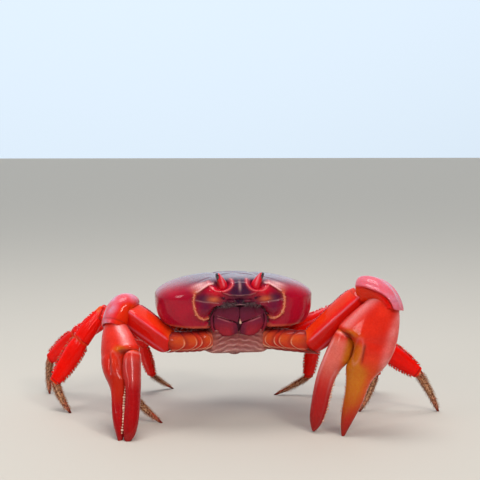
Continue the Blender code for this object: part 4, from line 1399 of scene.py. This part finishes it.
PALM_RINGS = [  # distance, half thickness, towards the movable finger, away from it
    (-9.0, 2.4, 3.0, 2.0), (-7.6, 4.6, 5.6, 4.4), (-4.0, 6.6, 8.8, 7.0), (1.0, 8.2, 12.4, 9.4),
    (7.0, 9.5, 16.4, 11.4), (13.0, 10.3, 20.2, 12.6), (18.0, 10.6, 23.0, 13.3),
    (21.4, 10.6, 24.4, 13.4), (23.0, 10.4, 23.8, 13.3), (24.0, 10.2, 20.8, 13.3),
    (25.2, 10.0, 15.4, 13.2), (28.0, 9.9, 11.4, 13.0), (34.0, 9.4, 10.6, 11.8),
    (39.0, 8.8, 11.4, 9.4), (42.5, 8.0, 12.6, 7.4), (46.0, 7.2, 11.4, 5.8),
    (50.0, 6.5, 10.0, 4.8), (56.0, 5.8, 8.4, 4.4), (62.0, 5.2, 7.5, 4.1), (68.0, 4.7, 7.1, 3.0),
    (74.0, 4.0, 5.9, 1.6), (80.0, 3.0, 4.4, 0.4), (83.5, 2.1, 2.9, -0.3), (85.2, 1.2, 2.2, -0.7),
    (86.0, 0.5, 1.7, -1.0)]
FINGER_RINGS = [  # distance, half thickness, height of the middle line, half height
    (21.0, 2.6, 20.2, 1.8), (22.3, 4.8, 20.1, 3.5), (24.6, 7.0, 19.3, 5.3),
    (28.0, 7.9, 18.0, 7.5), (32.0, 8.1, 17.5, 8.6), (37.0, 7.8, 18.1, 8.8),
    (41.5, 7.4, 19.6, 7.7), (47.0, 7.0, 21.5, 6.4), (53.0, 6.4, 22.3, 5.9),
    (61.0, 5.7, 22.1, 5.7), (68.0, 5.1, 21.4, 5.6), (74.0, 4.6, 20.8, 5.3),
    (80.0, 3.8, 20.4, 4.6), (84.0, 2.8, 20.1, 3.3), (87.0, 1.6, 19.8, 1.8),
    (88.6, 0.6, 19.9, 0.5)]
HINGE_RUN, HINGE_UP = 27.0, 14.0
ARM_LENGTH, HOOD_LENGTH, ROOT_RUN = 42.0, 22.0, 26.0
CLAW_SHEATHS = [0.0, 2.2, 5.2, 10.2, 13.0, 19.2]
ARM_RINGS = [
    (-0.05, 3.0, 4.0, 4.6), (-0.03, 4.8, 6.2, 8.6), (0.05, 6.0, 7.2, 11.4),
    (0.2, 7.2, 7.8, 12.2), (0.5, 8.4, 8.8, 12.2), (0.78, 9.2, 9.4, 11.4), (0.9, 9.0, 8.8, 10.4),
    (0.97, 8.4, 8.2, 9.2), (1.02, 7.4, 7.2, 7.8), (1.04, 6.2, 6.0, 6.4), (0.98, 5.0, 4.8, 5.2)]
HOOD_RINGS = [
    (-0.1, 5.4, 5.6, 6.6), (-0.06, 8.2, 8.8, 8.8), (0.05, 9.6, 10.2, 8.8),
    (0.22, 10.2, 10.6, 8.0), (0.5, 10.6, 10.6, 7.0), (0.75, 10.8, 10.2, 6.4),
    (0.92, 10.3, 9.6, 5.8), (1.0, 10.1, 9.3, 5.4), (1.04, 9.4, 8.5, 4.6), (0.98, 8.2, 7.3, 3.6),
    (0.86, 7.0, 6.2, 3.0)]


def tooth_row(distances, heights, first, last, up_sign, matrix):
    """Seeds for teeth along one cutting edge, larger towards the middle of the row."""
    seeds = []
    for index, distance in enumerate(np.linspace(first, last, TEETH_IN_ROW)):
        middle = math.sin(math.pi * index / (TEETH_IN_ROW - 1))
        swell = 0.7 + 0.45 * middle + 0.3 * (index % 4 == 1)
        height = np.interp(distance, distances, heights) - TOOTH_SUNK * up_sign
        place = spot_on(matrix, (rng.normal(0, 0.12), height, distance))
        seeds.append((place, way_on(matrix, (0, up_sign, 0)), way_on(matrix, (0, 0, 1)),
                      TOOTH_WIDTH * swell, TOOTH_HEIGHT * swell))
    return seeds

# %% [markdown]
# Rules give the grown pieces their character: the lobe, groove and rim of the palm, the
# collar and channel of the finger, the keeled arm, and the hood above the wrist, which
# is a lipped plate on the open claw and plain on the closed one.

# %% Rules for the claws
def stretch_edge(amount, line, up_sign):
    """Broaden one edge of a finger towards its tip, beyond a middle line."""
    def move(points):
        x, y, z = points.T
        beyond = np.clip((y - line) * up_sign / 4.0, 0, 1)
        return np.stack([x, y + amount * up_sign * beyond * ramp(z, 48.0, 78.0), z], 1)

    return move


def glare(x, y, z, grain):
    """Broad patches of painted sheen that come and go across a shell, 0 to 1."""
    x, y, z = x * grain, y * grain, z * grain
    waves = np.sin(x * 1.3 + z * 0.9) + np.sin(1.7 * z - 0.8 * y + 1.0)
    return ramp(waves + np.sin(1.1 * y + 0.7 * x - 0.5 * z), -1.0, 2.0)


def palm_lobe(y, z):
    """How much a point lies on the lobe that laps over the finger's root, 0 to 1."""
    return bump_at(y, z, (6.2, 31.0), (3.0, 9.0))


def lobe_groove(y, z, width):
    """The groove beside that lobe."""
    return bell(y - 2.4 + 0.09 * (z - 31), width) * ramp(z, 24.0, 28.0)


def finger_edge(y, z, sign):
    """How far a point lies inside the finger's inner (1) or outer (-1) edge."""
    edge = [(distance, middle - sign * tall) for distance, _, middle, tall in FINGER_RINGS]
    return sign * (y - read(edge, z))


def shape_palm(points):
    """A lobe on each flat side, a groove beside it, and a raised rim before the finger."""
    x, y, z = points.T
    face = np.sign(x) * ramp(np.abs(x), 2.0, 6.0)
    rim = bell(z - 21.0 + 0.10 * (y - 14), 1.1) * ramp(y, 11.0, 14.0)
    step = ramp(z, 21.5, 23.5) * ramp(y, 12.0, 14.5)
    groove = lobe_groove(y, z, 0.8) * ramp(-z, -42.0, -36.0)
    keel = 0.5 * bell(y - 1.0 + 0.02 * z, 2.2) * ramp(z, 44.0, 52.0)
    out = 1.9 * palm_lobe(y, z) + 0.5 * rim - 1.0 * step - 0.55 * groove + keel
    return np.stack([x + out * face, y, z], 1)


def shape_finger(points):
    """A collar round the root, a dent where the palm's lobe lies, and a long shallow channel."""
    x, y, z = points.T
    face = np.sign(x) * ramp(np.abs(x), 1.5, 4.5)
    collar = bell(z - 25.0 + 0.25 * (y - 19), 1.2)
    dent = bump_at(y, z, (12.4, 33.0), (2.2, 7.0))
    channel = bell(y - 20.5, 1.1) * ramp(z, 40.0, 48.0) * ramp(-z, -84.0, -76.0)
    return np.stack([x + (0.5 * collar - 1.5 * dent - 0.35 * channel) * face, y, z], 1)


def shape_arm(points):
    """Three-sided: a sharp crest above and a keel along the middle of each flat side."""
    x, y, z = points.T
    slim = 1.08 - 0.5 * ramp(y, -1.5, 10.0) - 0.34 * ramp(-y, 1.5, 11.0)
    keel = 0.7 * bell(y + 1.8, 1.1) * np.sign(x) * ramp(np.abs(x), 3.0, 6.0)
    return np.stack([x * slim + keel, y, z], 1)


def plate_edge(run):
    """Height of the plate's lower edge, which climbs towards the wrist."""
    return 2.6 + 4.2 * ramp(run, 8.0, 21.0)


def shape_hood(roof):
    """A carpus with some share of a plate-like roof: a lip on both sides, drawn in below it."""
    def move(points):
        x, y, z = points.T
        over = y - plate_edge(z)
        under = 0.5 * ramp(-over, 0.5, 1.7) + 0.5 * ramp(-over, 1.9, 7.9)
        lip = 0.9 * bell(over, 0.8) * ramp(np.abs(x), 4.0, 8.0) * ramp(z, 1.0, 5.0)
        droop = 1.6 * ramp(y, 3.0, 8.0) * ramp(z, 13.0, 22.0)
        flat = -1.6 * ramp(y, 7.0, 11.5) * ramp(-np.abs(x), -6.0, 0.0)
        slim = 1 - 0.26 * under * roof
        return np.stack([x * slim + np.sign(x) * lip * roof, y + flat * roof, z + droop * roof], 1)

    return move


def bend_along(curve, drawn_length):
    """A rule that lays a straight drawing along a curve of three points, given in mm."""
    stops = [np.array(at(*point)) / MM for point in curve]
    forward = unit(np.cross(stops[1] - stops[0], stops[2] - stops[1])[None])

    def move(points):
        centre, along = on_curve(stops, points[:, 2] / drawn_length)
        up = np.cross(forward, along)
        flip = 1.0 if up[0, 2] > 0 else -1.0
        return centre + flip * (forward * points[:, :1] + up * points[:, 1:2])

    return move

# %% [markdown]
# Each claw is now drawn, shaped, painted and set between its joints, from the hand back
# to the root. The flatter right claw and the broader left one differ only by their
# numbers. The teeth and the granules of the arm are gathered first and planted after.

# %% Claws, arms and their roots
granules, claw_teeth = [], []
for name, claw in CLAWS.items():
    side, size, yellow, roof = (claw[word] for word in ("side", "size", "yellow", "roof"))
    shoulder, elbow, wrist, tip = (at(*claw[word])
                                   for word in ("shoulder", "elbow", "wrist", "tip"))
    hand_swing = Vector(claw["towards"]).cross(tip - wrist)
    hand = (limb_frame(wrist, tip, hand_swing, CLAW_LENGTH)
            @ Matrix.Diagonal((size, claw["depth"], 1.0, 1.0)))

    palm = grow(f"claw_{name}_palm_shell", PALM_RINGS, sides=24, smooth=2)
    sculpt(palm, shape_palm)
    sculpt(palm, stretch_edge(2.6 * claw["blunt"], 3.0, -1))
    # Painted highlights: the pale band inside the ridge on the finger's side and, on the open
    # claw, the pale back edge, broken into patches by glare. Painted shade: the dark in the groove
    # beside the lobe and at the step before the hinge.
    paint(palm,
          warm=lambda x, y, z: 0.75 * bump_at(y, z, (12.5, 22.0), (5.0, 2.2)) + yellow * (
              0.95 * ramp(z, 36.0, 44.0) * ramp(y, -6.0, 2.0) * (1 - ramp(z, 58.0, 76.0))
              + 0.75 * ramp(z, 24.0, 30.0) * ramp(y, 1.0, 5.0) + 0.3 * ramp(z, 26.0, 45.0)),
          pale=lambda x, y, z: bell(y - 8.5 - 0.5 * z, 3.4) * (1 - ramp(z, 18.0, 21.0))
          * (0.46 + 0.28 * glare(x, y, z, 0.3))
          + 0.5 * yellow * bell(y + 10.6, 2.4) * (1 - ramp(z, 34.0, 46.0))
          * (0.65 + 0.35 * glare(x, y, z, 0.4))
          + 0.2 * bell(palm_lobe(y, z) - 0.42, 0.1) * ramp(z, 21.0, 24.0),
          deep=lambda x, y, z: 0.85 * ramp(z, 50.0, 78.0)
          + (1 - yellow) * (0.8 * ramp(z, 20.0, 44.0) + 0.5 * ramp(-y, 6.0, 13.0)),
          dark=lambda x, y, z: 0.35 * ramp(z, 70.0, 85.0)
          + 0.8 * lobe_groove(y, z, 0.7) * (1 - ramp(z, 35.0, 40.0))
          + 0.7 * ramp(z, 22.0, 23.2) * (1 - ramp(z, 24.5, 27.0)) * ramp(y, 10.0, 13.0))
    put(palm, hand)
    trim_to_floor(palm)
    finish_piece(palm, claw_finish, [f"claw_{name}_palm"])

    finger = grow(f"claw_{name}_finger_shell",
                  [(distance, half, middle + tall, tall - middle)
                   for distance, half, middle, tall in FINGER_RINGS], sides=20, smooth=2)
    sculpt(finger, shape_finger)
    sculpt(finger, stretch_edge(2.8 * claw["blunt"], 20.0, 1))
    # Painted highlights: the pale on the upper part near the root and the line just inside the
    # outer edge. Painted shade: the dark line where the palm's lobe lies over the root.
    paint(finger,
          warm=lambda x, y, z: (0.2 + 0.8 * yellow) * (
              0.9 * ramp(-y, -16.5, -12.5) * (1 - ramp(z, 38, 46))
              + 0.6 * (1 - ramp(z, 22.5, 25.5)) + 0.24 * ramp(z, 25, 30) * (1 - ramp(z, 44, 62))),
          pale=lambda x, y, z: 0.45 * bell(z - 24.4, 0.8)
          + (0.15 + 0.15 * yellow) * ramp(z, 25, 31) * (1 - ramp(z, 44, 66)) * ramp(y, 12.0, 17.0)
          + 0.55 * bell(finger_edge(y, z, -1) - 2.6, 0.7) * ramp(z, 26, 32) * (1 - ramp(z, 60, 78))
          + (0.35 + 0.2 * roof) * bell(finger_edge(y, z, 1) - 1.3, 0.5) * ramp(z, 44, 50),
          deep=lambda x, y, z: 0.9 * ramp(z, 40.0, 70.0)
          + 0.8 * (1 - yellow) * ramp(z, 24.0, 34.0),
          dark=lambda x, y, z: 0.35 * ramp(z, 68.0, 86.0)
          + 0.85 * bell(y - 10.6, 0.8) * ramp(z, 24, 27) * (1 - ramp(z, 36, 40)))
    pivot = Matrix.Translation(Vector((0, HINGE_UP, HINGE_RUN)) * MM)
    turned = hand @ pivot @ Matrix.Rotation(math.radians(-claw["gape"]), 4, "X") @ pivot.inverted()
    put(finger, turned)
    trim_to_floor(finger)
    finish_piece(finger, claw_finish, [f"claw_{name}_dactylus"])

    facing_eye = -1.0 if way_on(hand, (1, 0, 0)).y > 0 else 1.0
    beside = Matrix.Translation((1.9 * facing_eye * claw["blunt"] * MM, 0, 0))
    palm_edge = [(distance, up) for distance, _, up, _ in PALM_RINGS if distance > 42]
    finger_inner = [(distance, middle - tall) for distance, _, middle, tall in FINGER_RINGS]
    claw_teeth += tooth_row(*zip(*palm_edge), 46.0, 80.0, 1, hand @ beside)
    claw_teeth += tooth_row(*zip(*finger_inner), 47.0, 82.0, -1, turned)

    crest = claw["crest"]
    arm = grow(f"claw_{name}_arm_shell", [(share * ARM_LENGTH, half, rise * crest, drop)
                                          for share, half, rise, drop in ARM_RINGS],
               sides=20, smooth=2)
    sculpt(arm, shape_arm)
    # The darker lower face is painted shade.
    paint(arm,
          warm=lambda x, y, z: 0.6 * (1 - ramp(z, -1.0, 9.0)) * ramp(y, -3.0, 1.0)
          + 0.22 * ramp(y, -1.0, 2.0),
          pale=lambda x, y, z: 0.5 * bell(y + 1.9, 0.5) * ramp(z, 1, 4) + 0.4 * bell(y + 9.6, 0.6)
          + 0.25 * ramp(y, 7.0, 9.0),
          dark=lambda x, y, z: 0.35 * bell(z / ARM_LENGTH - 0.965, 0.01)
          + 0.25 * ramp(-y, 2.2, 4.0))
    arm_swing = (elbow - shoulder).cross(tip - wrist)
    arm_place = limb_frame(shoulder, elbow, arm_swing, ARM_LENGTH, size)
    put(arm, arm_place)
    finish_piece(arm, limb_finish, [f"claw_{name}_merus"])

    girth = claw["girth"]
    hood = grow(f"claw_{name}_carpus_shell",
                [(share * HOOD_LENGTH, half * girth, rise * girth,
                  (drop + 2.2 * (1 - roof)) * girth) for share, half, rise, drop in HOOD_RINGS],
                sides=24, smooth=2)
    sculpt(hood, shape_hood(roof))
    # The pale roof of the open claw's hood and the pale top of the closed claw's hood are painted
    # sheen, broken into patches by glare; the dark line under the lip is painted shade.
    paint(hood,
          warm=lambda x, y, z: 0.2 * ramp(-y, -2.2, 0.0) + 0.3 * (1 - ramp(z, -1.0, 1.5)),
          pale=lambda x, y, z: roof * 0.62 * ramp(y - plate_edge(z), -1.3, -0.1)
          * (0.75 + 0.4 * glare(x, y, z, 0.5) * ramp(y, 3.0, 8.0))
          + (1 - roof) * ramp(y, 0.0, 7.0) * (0.4 + 0.6 * glare(x, y, z, 0.55)),
          dark=lambda x, y, z: (0.5 - 0.35 * roof) * bell(z / HOOD_LENGTH - 0.93, 0.016)
          + 0.6 * roof * bell(y - plate_edge(z) + 1.3, 0.4) * ramp(z, 2.0, 5.0))
    sculpt(hood, bend_along(claw["hood"], HOOD_LENGTH))
    edit(hood, bpy.ops.mesh.normals_make_consistent, inside=False)
    finish_piece(hood, limb_finish, [f"claw_{name}_carpus"])

    crest_line = [(share, rise * crest) for share, _, rise, _ in ARM_RINGS[:-2]]
    for row, spread in ((0, 0.0), (1, 1.4), (-1, 1.4)):
        for share in np.arange(0.12, 0.95, 0.03 if row == 0 else 0.055):
            local = (row * spread + rng.normal(0, 0.2),
                     read(crest_line, share) - 0.35 - 0.6 * abs(row), share * ARM_LENGTH)
            wide = MM * rng.uniform(1.1, 1.8) * (1.0 if row == 0 else 0.7)
            granules.append((spot_on(arm_place, local), way_on(arm_place, (0.3 * row, 1, 0)),
                             way_on(arm_place, (0, 0, 1)), wide, wide * 0.9))

    root_ends = ((5.6, 6.2, 7.4), (6.6, 6.4, claw["drop"]))
    root = grow(f"claw_{name}_root", root_rings(CLAW_SHEATHS, ROOT_RUN, root_ends, 0.06),
                sides=20, smooth=2)
    root_paint(root, CLAW_SHEATHS, ROOT_RUN)
    sculpt(root, cup_rings(0.07, ROOT_RUN))
    inward = root_of(0, side) - root_facing(0, side) * 4.0 * MM + Vector((0, 0, 3.4 * MM))
    sculpt(root, bend_to(inward, root_facing(0, side), shoulder, ROOT_RUN))
    finish_piece(root, base_finish, [f"claw_{name}_base"])

arm_granules = plant("claw_arm_granules", granule, granules)
finish_piece(arm_granules, body_finish, [])
teeth = plant("claw_teeth", tooth, claw_teeth)
finish_piece(teeth, tooth_finish, [])
print("claws: teeth", len(claw_teeth), "granules", len(granules))

# %% [markdown]
# Under the shell lies the chest, a broad plate of fused segments. It is cut from one
# block, as the roots of the limbs leave it on flat sides. The cut block is remeshed to
# an even skin and smoothed, and then carved: a furrow between every two segments, and
# folds of skin where the chest meets the mouth. Behind, it reaches back to the tail.

# %% Chest
CHEST_TOP, CHEST_BOTTOM = 63.2, 46.6
SKIN_SQUARE = 0.6                  # millimetres, of the even skin
CHEST_CUTS = []                    # a place and the way that the cut faces
for side in (-1, 1):
    CHEST_CUTS += [((half * side, y, ROOT_HEIGHT), root_facing(index, side))
                   for index, (half, y, _) in enumerate(ROOTS)]
    CHEST_CUTS.append(((14.0 * side, 0, CHEST_BOTTOM), (0.16 * side, 0, -1)))
CHEST_CUTS += [((0, -25.0, 57.0), (0, -1, -0.25)), ((0, -22.0, 47.6), (0, -0.8, -1)),
               ((0, 44.0, 57.2), (0, 0.88, -0.48)), ((0, 38.2, 51.0), (0, 0.58, -0.81))]

chest = add_piece("chest", bpy.ops.mesh.primitive_cube_add, size=MM,
                  location=(0, 11 * MM, (CHEST_TOP + CHEST_BOTTOM) / 2 * MM),
                  scale=(80, 74, CHEST_TOP - CHEST_BOTTOM))
bpy.ops.object.transform_apply(location=True, rotation=True, scale=True)
bpy.ops.object.mode_set(mode="EDIT")
for place, outward in CHEST_CUTS:
    bpy.ops.mesh.select_all(action="SELECT")
    bpy.ops.mesh.bisect(plane_co=Vector(place) * MM, plane_no=outward, use_fill=True,
                        clear_outer=True)
bpy.ops.mesh.select_all(action="SELECT")
bpy.ops.mesh.normals_make_consistent(inside=False)
bpy.ops.object.mode_set(mode="OBJECT")
modify(chest, "REMESH", mode="VOXEL", voxel_size=SKIN_SQUARE * MM)
modify(chest, "SMOOTH", iterations=8)


def chest_furrows(x, y):
    """Distance to the nearest furrow between two segments, seen from below."""
    x = np.abs(x)
    best = np.full(len(x), 9.0)
    for (half, near_y, _), (next_half, far_y, _) in zip(ROOTS, ROOTS[1:]):
        edge_x, edge_y = (half + next_half) / 2, (near_y + far_y) / 2
        furrow = [(5.0, edge_y * 0.72 + 2.0), (edge_x, edge_y)]
        best = np.minimum(best, line_distance(x, y, furrow))
    return best


def fold_height(x, z):
    """A number that grows from fold to fold down the throat; the folds fall to both sides."""
    fall = 0.34 * np.hypot(x, 3.0) + 0.5 * np.sin(0.42 * x + 1.0) + 0.3 * np.sin(1.1 * x - 0.5 * z)
    return (z + fall) / 3.3


def fold_strength(x, z):
    """The folds are uneven: strong in some places, gone in others."""
    return 0.55 + 0.45 * np.sin(0.5 * x + 0.9 * z) * np.sin(0.33 * x - 0.6 * z + 2.0)


def carve_chest(points):
    x, y, z = points.T
    ahead = ramp(-y, 20.0, 24.0)
    height = fold_height(x, z)
    wave = 0.5 + 0.5 * np.sin(height * math.tau)
    moved = points.copy()
    moved[:, 2] += 0.9 * bell(chest_furrows(x, y), 0.8) * ramp(-z, -50.0, -47.5)
    moved[:, 1] -= (0.9 * wave**0.8 * fold_strength(x, z) + 0.1 * np.sin(height * 19.0)) * ahead
    moved[:, 1] += 0.6 * bell(x, 0.8) * ahead
    return moved


def on_throat(x, y, z, phase, start, end):
    """One line of every fold, as strong as the fold itself, on the front of the chest."""
    line = ramp(np.sin(fold_height(x, z) * math.tau + phase), start, end)
    return line * fold_strength(x, z) * ramp(-y, 19.0, 23.0)


# Along the throat folds the dark in every trough is painted shade and the pale line beside every
# crest is a painted highlight.
paint(chest,
      dark=lambda x, y, z: 0.6 * bell(chest_furrows(x, y), 0.7) * ramp(-z, -51, -48)
      + 0.55 * on_throat(x, y, z, math.pi, 0.3, 1.0) + 0.5 * ramp(z, 50.5, 60.0),
      pale=lambda x, y, z: 0.8 * on_throat(x, y, z, -0.9, 0.7, 0.98)
      + 0.25 * ramp(-z, -52.0, -48.0),
      warm=lambda x, y, z: 0.5 * ramp(np.abs(x), 9.0, 17.0)
      + 0.3 * ramp(-y, 19.0, 24.0) * ramp(z, 50.0, 56.0))
sculpt(chest, carve_chest)
put(chest)
finish_piece(chest, belly_finish, ["thorax"])
print("chest:", len(chest.data.polygons), "faces")

# %% [markdown]
# The tail of a crab is folded forward under the chest. In a male it is a narrow
# triangle of seven plates. It is grown straight, one swelling for each plate, and then
# laid along the curve that it follows from the rear edge of the shell to the mouth.

# %% Tail flap
FLAP_PATH = [                                             # y, z, half width, half thickness
    (48.6, 66.0, 9.0, 1.5), (47.6, 60.0, 12.0, 1.6), (43.6, 52.6, 12.0, 1.6),
    (35.0, 46.4, 10.8, 1.6), (24.0, 44.4, 9.6, 1.5), (12.0, 44.2, 8.2, 1.5),
    (0.0, 44.2, 6.0, 1.4), (-9.0, 44.3, 3.2, 1.2)]
flap_y, flap_z, flap_half, flap_thick = (np.array(column) for column in zip(*FLAP_PATH))
flap_run = np.concatenate([[0], np.cumsum(np.hypot(np.diff(flap_y), np.diff(flap_z)))])
FLAP_LENGTH = flap_run[-1]
PLATES = 7
rings = [(0.0, 6.0, 0.7, 0.7)]
for plate in range(PLATES):
    for share, swell, wide in ((0.06, 0.72, 0.97), (0.3, 1.05, 1.0), (0.8, 1.1, 1.0),
                               (0.97, 0.8, 0.96)):
        run = FLAP_LENGTH * (plate + share) / PLATES
        thick = np.interp(run, flap_run, flap_thick) * swell
        rings.append((run, np.interp(run, flap_run, flap_half) * wide, thick, thick))
rings += [(FLAP_LENGTH + 0.8, 1.6, 0.8, 0.8), (FLAP_LENGTH + 1.4, 0.5, 0.3, 0.3)]
flap = grow("tail_flap", rings, sides=16, smooth=2)
paint(flap,
      dark=lambda x, y, z: 0.7 * ramp(np.abs((z / FLAP_LENGTH * PLATES) % 1 - 0.5), 0.42, 0.5),
      warm=lambda x, y, z: 0.3 * ramp(np.abs(x), 5.0, 11.0))


def flap_place(run):
    return np.stack([np.interp(run, flap_run, flap_y), np.interp(run, flap_run, flap_z)])


def fold_under(points):
    x, up, run = points.T
    near, far = np.clip(run - 2.0, 0, FLAP_LENGTH - 0.01), np.clip(run + 2.0, 0.01, FLAP_LENGTH)
    way = flap_place(far) - flap_place(near)
    ahead_y, ahead_z = way / np.hypot(*way)
    y, z = flap_place(run)
    beyond = run - np.clip(run, 0, FLAP_LENGTH)
    return np.stack([x, y + ahead_z * up + ahead_y * beyond,
                     z - ahead_y * up + ahead_z * beyond], 1)


sculpt(flap, fold_under)
edit(flap, bpy.ops.mesh.normals_make_consistent, inside=False)
put(flap)
finish_piece(flap, belly_finish, ["abdomen"])
print("tail flap:", round(FLAP_LENGTH, 1), "mm along its curve")

# %% [markdown]
# The small models have done their work and go.

# %% Finish
for model in (spine, bristle, tooth, granule):
    discard(model)
